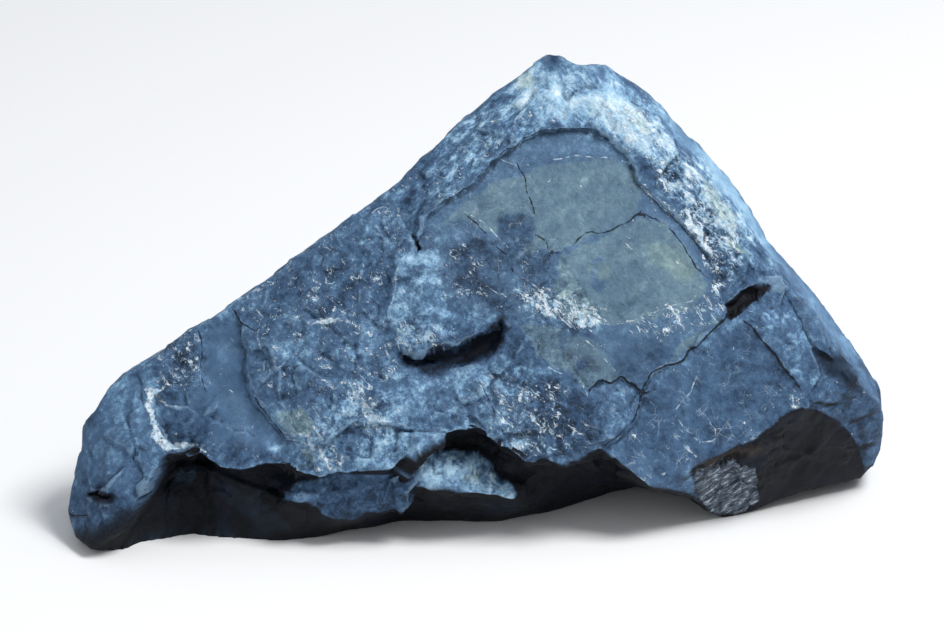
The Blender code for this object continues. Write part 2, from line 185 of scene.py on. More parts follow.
def inside(points: np.ndarray, outline: np.ndarray, reach: float) -> np.ndarray:
    """How deep points lie in a closed outline: the gap to its nearest edge, with its sign from edges crossed.

    Args:
        points: places as (u, v) rows.
        outline: the outline's corners.
        reach: the distance given to places far outside.

    Returns:
        The distances, above 0 inside and down to -reach outside.
    """
    ring = np.vstack([outline, outline[:1]])
    depth = np.full(len(points), -reach)
    chosen = near(points, ring, reach)
    spots = points[chosen, :2]
    best = np.full(len(spots), np.inf)
    within = np.zeros(len(spots), bool)
    for a, b in zip(ring[:-1, :2], ring[1:, :2]):
        d = b - a
        rel = spots - a
        share = np.clip(rel @ d / (d @ d), 0.0, 1.0)
        best = np.minimum(best, np.hypot(rel[:, 0] - share * d[0], rel[:, 1] - share * d[1]))
        spans = (a[1] > spots[:, 1]) != (b[1] > spots[:, 1])
        rise = d[1] if d[1] else 1.0
        within ^= spans & (spots[:, 0] < a[0] + (spots[:, 1] - a[1]) * d[0] / rise)
    depth[chosen] = np.where(within, best, -np.minimum(best, reach))
    return depth


def ragged(points: np.ndarray) -> np.ndarray:
    """Places pushed about by swells of 7 and 2.6 mm, so that straight lines on the face waver alike.

    Args:
        points: places in the face frame.

    Returns:
        The pushed (u, v) rows.
    """
    flat = points * (1.0, 1.0, 0.0)
    push = [0.8 * swell(flat, 7.0, 50 + axis) + 0.35 * swell(flat, 2.6, 60 + axis) for axis in range(2)]
    return points[:, :2] + np.stack(push, axis=-1)


@dataclass(frozen=True)
class FaceFrame:
    """How the photograph, the leaning face and the upright rock relate, in millimetres."""

    rock_length: float = 240.0
    lean: float = math.radians(25.0)
    left: float = 69.0
    right: float = 884.0
    lowest: float = 549.0
    ground_drop: float = 1.5

    @property
    def scale(self) -> float:
        """Millimetres for each pixel of the photograph."""
        return self.rock_length / (self.right - self.left)

    def places(self, points: Line) -> np.ndarray:
        """Photograph places in millimetres, from the rock's middle and its lowest point.

        Args:
            points: places as (across, down) or (across, down, depth).

        Returns:
            The same places as (u, v) or (u, v, w) rows.
        """
        rows = np.array(points, float)
        rows[:, 0] = (rows[:, 0] - (self.left + self.right) / 2) * self.scale
        rows[:, 1] = (self.lowest - rows[:, 1]) * self.scale
        return rows

    def to_rock(self, uvw: np.ndarray) -> np.ndarray:
        """Turns by the lean: x = u, y = v·sin - w·cos, z = v·cos + w·sin.

        Args:
            uvw: points or directions in the face frame.

        Returns:
            The same in the upright frame.
        """
        u, v, w = np.moveaxis(np.asarray(uvw, float), -1, 0)
        sin, cos = math.sin(self.lean), math.cos(self.lean)
        return np.stack([u, v * sin - w * cos, v * cos + w * sin], axis=-1)

    def to_face(self, xyz: np.ndarray) -> np.ndarray:
        """Turns back by the lean: u = x, v = y·sin + z·cos, w = z·sin - y·cos.

        Args:
            xyz: points or directions in the upright frame.

        Returns:
            The same in the face frame.
        """
        x, y, z = np.moveaxis(np.asarray(xyz, float), -1, 0)
        sin, cos = math.sin(self.lean), math.cos(self.lean)
        return np.stack([x, y * sin + z * cos, z * sin - y * cos], axis=-1)


@dataclass(frozen=True)
class StoneForm:
    """The body: every point behind the flat fracture faces, inside the outline and above the ground."""

    face: FaceFrame
    edge_rounding: float = 0.45
    base_trim: float = 1.2
    rim_depth: float = -36.0
    back_taper: float = 0.32
    back_reach: float = 95.0
    core: Place = (505.0, 340.0, -32.0)
    block_low: Place = (-130.0, -64.0, -62.0)
    block_high: Place = (116.0, 88.0, 40.0)
    spine_length: float = 0.78
    spine_sink: float = 0.20
    spine_forward: float = 0.15
    spine_bend: float = 20.0
    outline: Line = (
        (69, 510), (75, 480), (82, 450), (87, 420), (97, 409), (110, 390), (124, 375), (151, 360),
        (189, 330), (215, 316), (241, 300), (281, 270), (321, 240), (362, 210), (402, 180), (420, 161),
        (435, 150), (464, 120), (501, 90), (530, 68), (547, 58), (560, 57), (577, 66), (605, 66), (630, 80),
        (647, 92), (673, 121), (703, 150), (731, 180), (752, 210), (768, 240), (794, 270), (819, 300),
        (841, 330), (863, 360), (879, 390), (884, 420), (883, 450), (876, 467), (864, 480), (840, 484),
        (800, 493), (754, 510), (725, 520), (706, 512), (690, 498), (660, 490), (640, 487), (610, 494),
        (575, 507), (545, 515), (500, 522), (430, 522), (400, 521), (375, 527), (350, 529), (325, 536),
        (280, 540), (240, 538), (200, 540), (150, 544), (125, 549), (95, 546), (78, 535),
    )
    rim_corner: Place = (725, 520)
    front_faces: tuple[Line, ...] = (
        ((450, 220, 2.0), (640, 170, 0.0), (600, 380, 6.0)),
        ((610, 450, 4.0), (700, 340, 4.0), (800, 400, -3.0)),
        ((430, 230, 2.5), (450, 440, 8.0), (120, 460, 3.0)),
        ((425, 225, 3.0), (545, 128, 2.0), (464, 122, -9.5)),
        ((600, 128, 2.0), (700, 255, 3.0), (720, 190, -7.0)),
        ((650, 105, -6.0), (778, 283, -5.0), (768, 240, -20.0)),
        ((830, 415, -11.0), (868, 478, -38.0), (884, 420, -23.0)),
        ((690, 465, -0.3), (745, 440, -2.0), (720, 517, -19.5)),
        ((95, 410, -8.0), (80, 450, -9.5), (118, 440, 2.0)),
    )
    back_faces: tuple[tuple[Place, Place], ...] = (
        ((0.08, 0.985, 0.10), (40, 92, 12)),
        ((-0.44, 0.89, 0.10), (-62, 62, 10)),
        ((0.62, 0.76, 0.18), (94, 79, 22)),
        ((0.02, 0.60, 0.80), (25, 77, 127)),
        ((-0.15, 0.93, 0.34), (20, 90, 84)),
        ((-0.58, 0.46, 0.67), (-60, 55, 72)),
        ((0.78, 0.50, 0.38), (103, 66, 55)),
        ((-0.72, 0.66, 0.22), (-115, 38, 15)),
        ((-0.20, 0.80, -0.57), (-30, 66, 4)),
        ((0.45, 0.66, -0.60), (73, 83, 4)),
    )
    lip: Line = (
        (60, 548, 4), (96, 544, 4), (108, 537, 4), (122, 528, 4), (135, 516, 4), (150, 486, 4),
        (169, 456, 4), (187, 451, 4), (199, 452, 4), (209, 461, 4), (224, 469, 4), (244, 471, 5),
        (265, 466, 5), (285, 464, 5), (302, 474, 5), (325, 478, 6), (345, 474, 6), (365, 472, 6),
        (395, 469, 6), (402, 459, 6), (412, 452, 6), (433, 441, 6), (454, 432, 6), (479, 431, 6),
        (495, 446, 7), (517, 455, 7), (523, 466, 7), (543, 464, 7), (561, 461, 7), (579, 455, 7),
        (600, 448, 4), (620, 464, 4), (641, 481, 3), (655, 490, 2), (700, 520, 0),
    )
    roof: Line = (
        (60, 549, 3), (96, 546, 2), (125, 532, 0), (137, 519, -3), (152, 490, -7), (169, 461, -11),
        (200, 456, -13), (215, 467, -7), (244, 476, -3), (285, 468, -4), (310, 478, -1), (335, 481, 2),
        (365, 476, 1), (395, 474, 0), (412, 458, -3), (435, 447, -6), (465, 439, -8), (490, 448, -8),
        (517, 462, -7), (545, 469, -5), (579, 460, -5), (600, 453, -6), (641, 484, -8), (700, 521, -8),
    )
    shelf_top: Line = (
        (60, 549, 2), (96, 547, 1), (125, 539, -2), (150, 506, -8), (163, 484, -9), (198, 470, -8),
        (202, 486, -12), (244, 500, -7), (279, 490, -3), (305, 481, 3), (333, 485, 4), (365, 482, 3),
        (395, 478, 2), (412, 464, 2), (435, 453, 1), (465, 450, 1), (483, 461, -1), (510, 486, -3),
        (545, 484, -11), (600, 470, -17), (641, 485, -22), (700, 522, -20),
    )
    shelf_edge: Line = (
        (60, 549, 0), (96, 548, 0), (125, 546, -3), (150, 528, -9), (200, 515, -14), (244, 524, -11),
        (279, 497, -1), (295, 503, 2), (311, 503, 2), (335, 516, 0), (355, 520, -2), (380, 505, -1),
        (398, 495, 0), (420, 482, 2), (440, 487, 2), (465, 490, 2), (490, 494, 1), (515, 499, -3),
        (545, 500, -18), (600, 486, -26), (641, 486, -32), (700, 522, -21),
    )

    def spine(self, block: np.ndarray) -> np.ndarray:
        """The rock's spine, a sunk and bent line: each point's place on it is a share of its own u.

        Args:
            block: points of the starting block, from the core.

        Returns:
            Their places on the spine, from the core.
        """
        along = self.spine_length * block[:, 0]
        sink = self.spine_sink * (np.sqrt(along ** 2 + self.spine_bend ** 2) - self.spine_bend)
        return np.stack([along, -sink, self.spine_forward * np.maximum(-along, 0.0)], axis=-1)

    def planes(self) -> tuple[np.ndarray, np.ndarray]:
        """The flat faces as planes, each from three places or from a direction and a place.

        Returns:
            Each plane's outward direction in the face frame, and how far out along it the plane lies.
        """
        normals, reaches = [], []
        for corners in self.front_faces:
            a, b, c = self.face.places(corners)
            normal = np.cross(b - a, c - a)
            normal *= np.sign(normal[2]) / np.linalg.norm(normal)
            normals.append(normal)
            reaches.append(normal @ a)
        for outward, place in self.back_faces:
            normal = self.face.to_face(outward)
            normal = normal / np.linalg.norm(normal)
            normals.append(normal)
            reaches.append(normal @ self.face.to_face(place))
        normals.append(self.face.to_face((0.0, 0.0, -1.0)))
        reaches.append(self.face.ground_drop + self.base_trim)
        return np.array(normals), np.array(reaches)

    def outline_run(self, starts: np.ndarray, rays: np.ndarray) -> np.ndarray:
        """How far rays run before they cross the outline, which narrows behind the rim by taper·behind^1.5.

        Args:
            starts: where the rays start, in the face frame.
            rays: one length of each ray, as a vector.

        Returns:
            How many times its length each ray runs.
        """
        ring = self.face.places(self.outline)
        reach = np.full(len(rays), 1e3)
        for a, b in zip(ring, np.roll(ring, -1, axis=0)):
            edge = b - a
            gap = a - starts[:, :2]
            turn = rays[:, 0] * edge[1] - rays[:, 1] * edge[0]
            turn = np.where(np.abs(turn) < 1e-9, 1e-9, turn)
            run = (gap[:, 0] * edge[1] - gap[:, 1] * edge[0]) / turn
            share = (gap[:, 0] * rays[:, 1] - gap[:, 1] * rays[:, 0]) / turn
            meets = (run > 0) & (share >= -1e-9) & (share <= 1 + 1e-9)
            reach = np.where(meets, np.minimum(run, reach), reach)
        run = reach
        for _ in range(6):
            behind = np.clip((self.rim_depth - starts[:, 2] - run * rays[:, 2]) / self.back_reach, 0.0, 1.0)
            run = reach * (1.0 - self.back_taper * behind ** 1.5)
        return run

    def undercut(self, points: np.ndarray) -> np.ndarray:
        """The greatest w left under the front edge: straight between lip, roof, shelf and rim.

        Args:
            points: places in the face frame.

        Returns:
            The greatest w at each place, endless above the lip and right of its end.
        """
        u, v = points[:, 0], points[:, 1]
        rim = self.face.places(self.outline[self.outline.index(self.rim_corner):] + self.outline[:1])[::-1]
        levels = []
        for line in (self.lip, self.roof, self.shelf_top, self.shelf_edge):
            row = self.face.places(line)
            levels.append((np.interp(u, row[:, 0], row[:, 1]), np.interp(u, row[:, 0], row[:, 2])))
        rim_v = np.interp(u, rim[:, 0], rim[:, 1])
        lean = self.face.lean
        levels.append((rim_v, (-self.face.ground_drop - rim_v * math.cos(lean)) / math.sin(lean)))
        depth = levels[-1][1].copy()
        for (high_v, high_w), (low_v, low_w) in reversed(list(zip(levels[:-1], levels[1:]))):
            share = np.clip((high_v - v) / np.maximum(high_v - low_v, 0.05), 0.0, 1.0)
            depth = np.where(v > low_v, high_w + (low_w - high_w) * share, depth)
        right_end = self.face.places(self.lip)[-1, 0]
        return np.where((v > levels[0][0]) | (u > right_end), np.inf, depth)

    def body(self, share: np.ndarray) -> tuple[np.ndarray, np.ndarray]:
        """Where rays from the spine leave the rock: a soft least of all limits, stopped by the undercut.

        Args:
            share: places on the starting block's surface, from 0 to 1 along u, v and w.

        Returns:
            The points, in the face frame, and whether each one lies in the undercut.
        """
        block = self.block_low + share * np.subtract(self.block_high, self.block_low)
        core = self.face.places((self.core,))[0]
        starts = self.spine(block) + core
        rays = block + core - starts
        length = np.linalg.norm(rays, axis=1)
        normals, reaches = self.planes()
        toward = rays @ normals.T
        runs = np.where(toward > 1e-6, (reaches - starts @ normals.T) / np.maximum(toward, 1e-6), 1e3)
        runs = np.column_stack([runs, self.outline_run(starts, rays)])
        runs = np.minimum(runs, 6.0) * length[:, None]
        nearest = runs.min(axis=1)
        soft = np.exp((nearest[:, None] - runs) / self.edge_rounding).sum(axis=1)
        run = nearest - self.edge_rounding * np.log(soft)
        heading = rays / length[:, None]
        clear = np.zeros(len(rays))
        stop = run.copy()
        found = np.zeros(len(rays), bool)
        for part in np.linspace(0.3, 1.0, 71):
            place = starts + heading * (run * part)[:, None]
            out = place[:, 2] > self.undercut(place)
            stop = np.where(out & ~found, run * part, stop)
            found |= out
            clear = np.where(found, clear, run * part)
        for _ in range(10):
            middle = (clear + stop) / 2
            place = starts + heading * middle[:, None]
            out = found & (place[:, 2] > self.undercut(place))
            stop = np.where(out, middle, stop)
            clear = np.where(out, clear, middle)
        return starts + heading * np.where(found, (clear + stop) / 2, run)[:, None], found


@dataclass(frozen=True)
class Step:
    """A ledge in the face: the ground on the right of its line lies lower by drop, or on the left if below 0.

    Its drop dies away over reach, is taken up over width, and comes in over the fades at the line's two ends.
    """

    line: Line
    drop: float
    reach: float
    width: float = 1.4
    fades: tuple[float, float] = (3.0, 3.0)


@dataclass(frozen=True)
class Ridge:
    """A soft rib along a line, or a trough where its height is below 0."""

    line: Line
    height: float
    width: float


@dataclass(frozen=True)
class Pit:
    """A sunken place with a sloping edge."""

    outline: Line
    depth: float
    edge: float


@dataclass(frozen=True)
class Chips:
    """A layer of flat, tilted chips: their size, how far they tilt and where their pattern starts.

    Calm places keep only their share of a layer, raised to its calming.
    """

    size: float
    tilt: float
    seed: int
    calming: float = 1.0


@dataclass(frozen=True)
class Relief:
    """Everything that stands out of the body's flat faces or is sunk into them."""

    face: FaceFrame
    form: StoneForm
    steps: tuple[Step, ...] = (
        Step(((410, 262), (413, 240), (425, 218), (445, 200), (470, 184), (497, 160), (520, 139), (540, 131),
              (560, 128), (588, 131), (610, 137), (628, 152), (640, 182), (662, 205), (690, 232), (712, 262),
              (722, 290)), 1.9, 13.0, 1.3, (3.0, 12.0)),
        Step(((724, 316), (712, 327), (702, 335), (690, 347), (680, 358), (662, 362), (652, 372), (641, 392),
              (632, 384), (623, 377), (611, 383), (600, 382), (589, 390)), -0.9, 8.0, 0.8),
        Step(((396, 349), (411, 353), (420, 357), (433, 348), (447, 344), (458, 344), (468, 337), (483, 330),
              (497, 321), (507, 316)), 4.0, 4.0, 1.1),
        Step(((742, 318), (757, 335), (772, 354), (786, 372), (801, 390)), 0.8, 8.0, 1.0),
        Step(((778, 286), (800, 318), (819, 352), (832, 360), (845, 373), (868, 388)), 2.2, 5.0, 1.2),
        Step(((209, 392), (203, 371), (201, 334)), 1.6, 9.0),
        Step(((245, 298), (246, 350), (255, 398), (268, 412), (286, 432), (311, 440),
              (318, 470)), 1.9, 8.0, 1.4,
             (8.0, 3.0)),
        Step(((492, 437), (506, 432), (528, 430), (541, 428)), 2.6, 4.0),
        Step(((156, 392), (160, 420), (168, 440), (180, 450), (200, 455)), -2.4, 10.0),
        Step(((641, 394), (636, 410), (622, 428), (600, 449)), -1.6, 5.0, 1.2, (2.0, 2.0)),
        Step(((449, 316), (436, 331), (454, 345)), -1.2, 4.0),
        Step(((640, 215), (621, 225), (595, 236), (565, 251), (552, 256)), 0.5, 12.0),
        Step(((641, 215), (660, 223), (680, 247), (708, 282)), -0.6, 10.0),
        Step(((640, 300), (600, 322), (560, 330), (540, 318)), 0.6, 8.0),
        Step(((560, 345), (590, 385), (612, 410)), 0.7, 6.0),
        Step(((355, 225), (372, 262), (360, 300), (385, 330)), 0.7, 6.0, 1.0),
        Step(((300, 290), (330, 318), (322, 350), (352, 372)), 0.6, 5.0, 1.0),
        Step(((420, 400), (470, 412), (500, 440)), 1.0, 5.0),
        Step(((104, 432), (130, 446), (152, 476)), 1.3, 6.0),
        Step(((640, 100), (672, 150), (700, 190), (728, 250)), 0.9, 5.0),
    )
    ridges: tuple[Ridge, ...] = (
        Ridge(((424, 290), (430, 335)), 1.5, 7.0),
        Ridge(((398, 270), (392, 300), (398, 340)), 0.7, 2.4),
        Ridge(((470, 365), (492, 405), (515, 455)), 1.6, 3.0),
        Ridge(((440, 385), (452, 425)), -1.4, 5.0),
        Ridge(((222, 322), (226, 370), (250, 420), (300, 458)), -2.4, 8.0),
        Ridge(((205, 395), (186, 430)), -3.2, 7.0),
        Ridge(((152, 362), (140, 402), (128, 440)), 1.6, 5.0),
        Ridge(((108, 420), (118, 455)), -1.4, 5.0),
        Ridge(((338, 335), (322, 405)), 1.6, 11.0),
        Ridge(((384, 290), (372, 360), (362, 430)), -1.3, 6.0),
        Ridge(((262, 292), (300, 282), (352, 240)), 1.0, 5.0),
        Ridge(((330, 275), (380, 235)), -1.1, 6.0),
        Ridge(((430, 195), (500, 130), (548, 92)), 1.2, 5.0),
        Ridge(((640, 120), (700, 200), (735, 262)), 1.3, 4.0),
        Ridge(((668, 190), (712, 262), (728, 300)), -1.6, 3.5),
        Ridge(((330, 445), (395, 462)), 0.6, 5.0),
    )
    pits: tuple[Pit, ...] = (
        Pit(((396, 350), (411, 353), (420, 357), (433, 348), (447, 344), (458, 344), (468, 337), (483, 330),
             (497, 321), (506, 317), (503, 338), (500, 352), (488, 360), (465, 366), (450, 371), (436, 373),
             (418, 368), (406, 363)), 4.0, 3.6),
        Pit(((722, 306), (741, 291), (759, 283), (778, 281), (782, 285), (768, 293), (750, 303), (738, 312),
             (727, 319)), 2.4, 1.1),
        Pit(((88, 491), (104, 487), (121, 492), (115, 503), (99, 504)), 3.0, 2.2),
        Pit(((408, 232), (413, 231), (423, 250), (418, 255), (411, 246)), 0.6, 1.0),
    )
    chips: tuple[Chips, ...] = (
        Chips(46.0, 0.12, 11, 3.0), Chips(21.0, 0.17, 23, 1.8), Chips(9.0, 0.20, 37), Chips(4.2, 0.17, 53),
        Chips(2.2, 0.13, 67),
    )
    chip_slope: float = 0.26
    smooth_faces: tuple[Line, ...] = (
        ((415, 245), (445, 208), (500, 165), (560, 135), (610, 142), (650, 195), (705, 262), (718, 300),
         (690, 340), (640, 385), (600, 386), (567, 376), (534, 356), (516, 330), (470, 300)),
        ((610, 450), (645, 398), (700, 345), (742, 318), (795, 388), (745, 435), (655, 478)),
        ((200, 335), (240, 325), (255, 400), (300, 440), (260, 440), (212, 395)),
        ((392, 346), (420, 352), (468, 332), (510, 312), (512, 340), (500, 366), (466, 378), (436, 384),
         (404, 372)),
    )
    smooth_calm: float = 0.12
    front_calm: float = 0.62
    base_calm: float = 0.6
    foot_calm: float = 0.35
    foot_height: float = 14.0
    rim_calm: float = 0.3
    rim_width: float = 9.0
    rim_fade: float = 7.0

    def chip_layer(self, points: np.ndarray, layer: Chips) -> np.ndarray:
        """Heights of one layer: each cell has a middle, a slope and a level, blended by exp(-d²/blend).

        Args:
            points: places, in millimetres.
            layer: the chips' size, tilt and seed.

        Returns:
            The rise at each place.
        """
        scaled = points / layer.size
        low = np.floor(scaled).astype(np.int64)
        blend = self.chip_slope / layer.size
        total = np.zeros(len(points))
        weights = np.full(len(points), 1e-300)
        for offset in np.ndindex(3, 3, 3):
            cell = low + np.array(offset) - 1
            middle = cell + np.stack([scatter(cell, layer.seed + axis) for axis in range(3)], axis=-1)
            away = scaled - middle
            slope = np.stack([scatter(cell, layer.seed + 3 + axis) for axis in range(3)], axis=-1) - 0.5
            level = 2.0 * (away * slope).sum(-1) + 0.6 * (scatter(cell, layer.seed + 6) - 0.5)
            weight = np.exp(-(away ** 2).sum(-1) / blend)
            total += weight * level
            weights += weight
        return total / weights * layer.size * layer.tilt

    def on_face(self, spots: np.ndarray) -> np.ndarray:
        """Rise along w: steps as drop·exp(-gap/reach), ribs as bells and pits as sloped floors, added up.

        Args:
            spots: places as (u, v) rows.

        Returns:
            The rise at each place, fading to 0 at the outline.
        """
        relief = np.zeros(len(spots))
        for step in self.steps:
            line = self.face.places(step.line)
            gap, side, run = from_line(spots, line, 5.0 * step.reach)
            low = side * np.sign(step.drop) > 0
            fall = abs(step.drop) * smooth(gap / step.width) * np.exp(-gap / step.reach)
            length = np.hypot(*np.diff(line[:, :2], axis=0).T).sum()
            fall *= smooth(run / step.fades[0]) * smooth((length - run) / step.fades[1])
            relief -= np.where(low, fall, 0.0)
        for ridge in self.ridges:
            gap, _, _ = from_line(spots, self.face.places(ridge.line), 3.0 * ridge.width)
            relief += ridge.height * np.exp(-(gap / ridge.width) ** 2)
        for pit in self.pits:
            relief -= pit.depth * smooth(inside(spots, self.face.places(pit.outline), 1.0) / pit.edge)
        within = inside(spots, self.face.places(self.form.outline), 1.0) / self.rim_fade
        return relief * smooth(within)

    def calm(self, points: np.ndarray, normals: np.ndarray) -> np.ndarray:
        """How much chipping is kept: less on smooth faces, the front, the base, the foot and the outline.

        Args:
            points: places in the face frame.
            normals: outward directions there.

        Returns:
            A share from 0 to 1 for each place.
        """
        share = np.full(len(points), self.front_calm)
        for outline in self.smooth_faces:
            within = smooth(inside(points, self.face.places(outline), 8.0) / 12.0 + 0.6)
            share = np.minimum(share, self.front_calm + (self.smooth_calm - self.front_calm) * within)
        kept = 1.0 - (1.0 - share) * smooth((normals[:, 2] - 0.2) / 0.5)
        down = normals[:, 1] * math.cos(self.face.lean) + normals[:, 2] * math.sin(self.face.lean)
        kept *= 1.0 - (1.0 - self.base_calm) * smooth((-down - 0.6) / 0.3)
        height = points[:, 1] * math.cos(self.face.lean) + points[:, 2] * math.sin(self.face.lean)
        kept *= self.foot_calm + (1.0 - self.foot_calm) * smooth(height / self.foot_height)
        within = smooth(inside(points, self.face.places(self.form.outline), 1.0) / self.rim_width)
        return kept * (self.rim_calm + (1.0 - self.rim_calm) * within)

    def chipped(self, points: np.ndarray, normals: np.ndarray) -> np.ndarray:
        """All chip layers at a wavering place, calmed, and two soft swells.

        Args:
            points: places in the face frame.
            normals: outward directions there.

        Returns:
            The rise along the normal at each place.
        """
        waver = np.stack([swell(points, 9.0, 70 + axis) for axis in range(3)], axis=-1)
        place = points + 1.6 * waver
        calm = self.calm(points, normals)
        relief = sum(self.chip_layer(place, layer) * calm ** layer.calming for layer in self.chips)
        return relief + 0.5 * swell(points, 14.0, 80) + 0.25 * swell(points, 5.0, 81)


def block_grid(cells: tuple[int, int, int]) -> tuple[np.ndarray, np.ndarray]:
    """The surface of a block as six grids that share their edges: each side is a plane in two parameters.

    Args:
        cells: how many cells the block has along each axis.

    Returns:
        The points, from 0 to 1 along each axis, and the four-cornered faces, wound to face outwards.
    """
    counts = np.array(cells) + 1
    quads = []
    for axis in range(3):
        across, up = (axis + 1) % 3, (axis + 2) % 3
        p, q = np.meshgrid(np.arange(counts[across]), np.arange(counts[up]), indexing="ij")
        for end in (0, cells[axis]):
            place = np.zeros(p.shape + (3,), np.int64)
            place[..., axis], place[..., across], place[..., up] = end, p, q
            number = (place[..., 0] * counts[1] + place[..., 1]) * counts[2] + place[..., 2]
            ring = [number[:-1, :-1], number[1:, :-1], number[1:, 1:], number[:-1, 1:]]
            quads.append(np.stack(ring if end else ring[::-1], axis=-1).reshape(-1, 4))
    numbers, compact = np.unique(np.concatenate(quads), return_inverse=True)
    layers, rest = np.divmod(numbers, counts[1] * counts[2])
    place = np.stack([layers, rest // counts[2], rest % counts[2]])
    return place.T / np.array(cells, float), compact.reshape(-1, 4)


def mesh_from(name: str, points: np.ndarray, quads: np.ndarray) -> bpy.types.Mesh:
    """A mesh of four-cornered faces from whole arrays.

    Args:
        name: the mesh's name.
        points: its corners.
        quads: four corner numbers for each face, wound to face outwards.

    Returns:
        The mesh.
    """
    mesh = bpy.data.meshes.new(name)
    mesh.vertices.add(len(points))
    mesh.loops.add(quads.size)
    mesh.polygons.add(len(quads))
    mesh.vertices.foreach_set("co", points.astype(np.float32).ravel())
    mesh.loops.foreach_set("vertex_index", quads.astype(np.int32).ravel())
    mesh.polygons.foreach_set("loop_start", np.arange(0, quads.size, 4, dtype=np.int32))
    mesh.update(calc_edges=True)
    return mesh


def place_points(mesh: bpy.types.Mesh, points: np.ndarray) -> None:
    """Puts the mesh's vertices at these points."""
    mesh.vertices.foreach_set("co", points.astype(np.float32).ravel())
    mesh.update()


def read_vectors(items: bpy.types.bpy_prop_collection, name: str) -> np.ndarray:
    """One vector of each mesh item.

    Args:
        items: the mesh's vertices or their normals.
        name: which of an item's vectors.

    Returns:
        The vectors, as rows.
    """
    flat = np.empty(len(items) * 3, np.float32)
    items.foreach_get(name, flat)
    return flat.reshape(-1, 3).astype(float)


def spread(values: np.ndarray, edges: np.ndarray, rounds: int) -> np.ndarray:
    """Values averaged with their neighbours', over and over: (own + mean of neighbours) / 2.

    Args:
        values: a row of values for each vertex.
        edges: the two vertex numbers of each edge.
        rounds: how many times.

    Returns:
        The averaged rows.
    """
    count = np.maximum(np.bincount(edges.ravel(), minlength=len(values)), 1)
    for _ in range(rounds):
        total = np.stack([
            np.bincount(edges[:, 0], values[edges[:, 1], k], len(values))
            + np.bincount(edges[:, 1], values[edges[:, 0], k], len(values))
            for k in range(values.shape[1])
        ], axis=-1)
        values = 0.5 * values + 0.5 * total / count[:, None]
    return values


@dataclass(frozen=True)
class Patch:
    """A soft-edged area of the face: its outline, how strong it is and how wide its edge is."""

    outline: Line
    strength: float = 1.0
    edge: float = 3.0


@dataclass(frozen=True)
class Blot:
    """A round, soft lighter or darker place: its middle, its radius in pixels and its strength."""

    place: Place
    radius: float
    strength: float


@dataclass(frozen=True)
class Vein:
    """A band of calcite along a line, with its half width in millimetres at each end."""

    line: Line
    start: float
    end: float


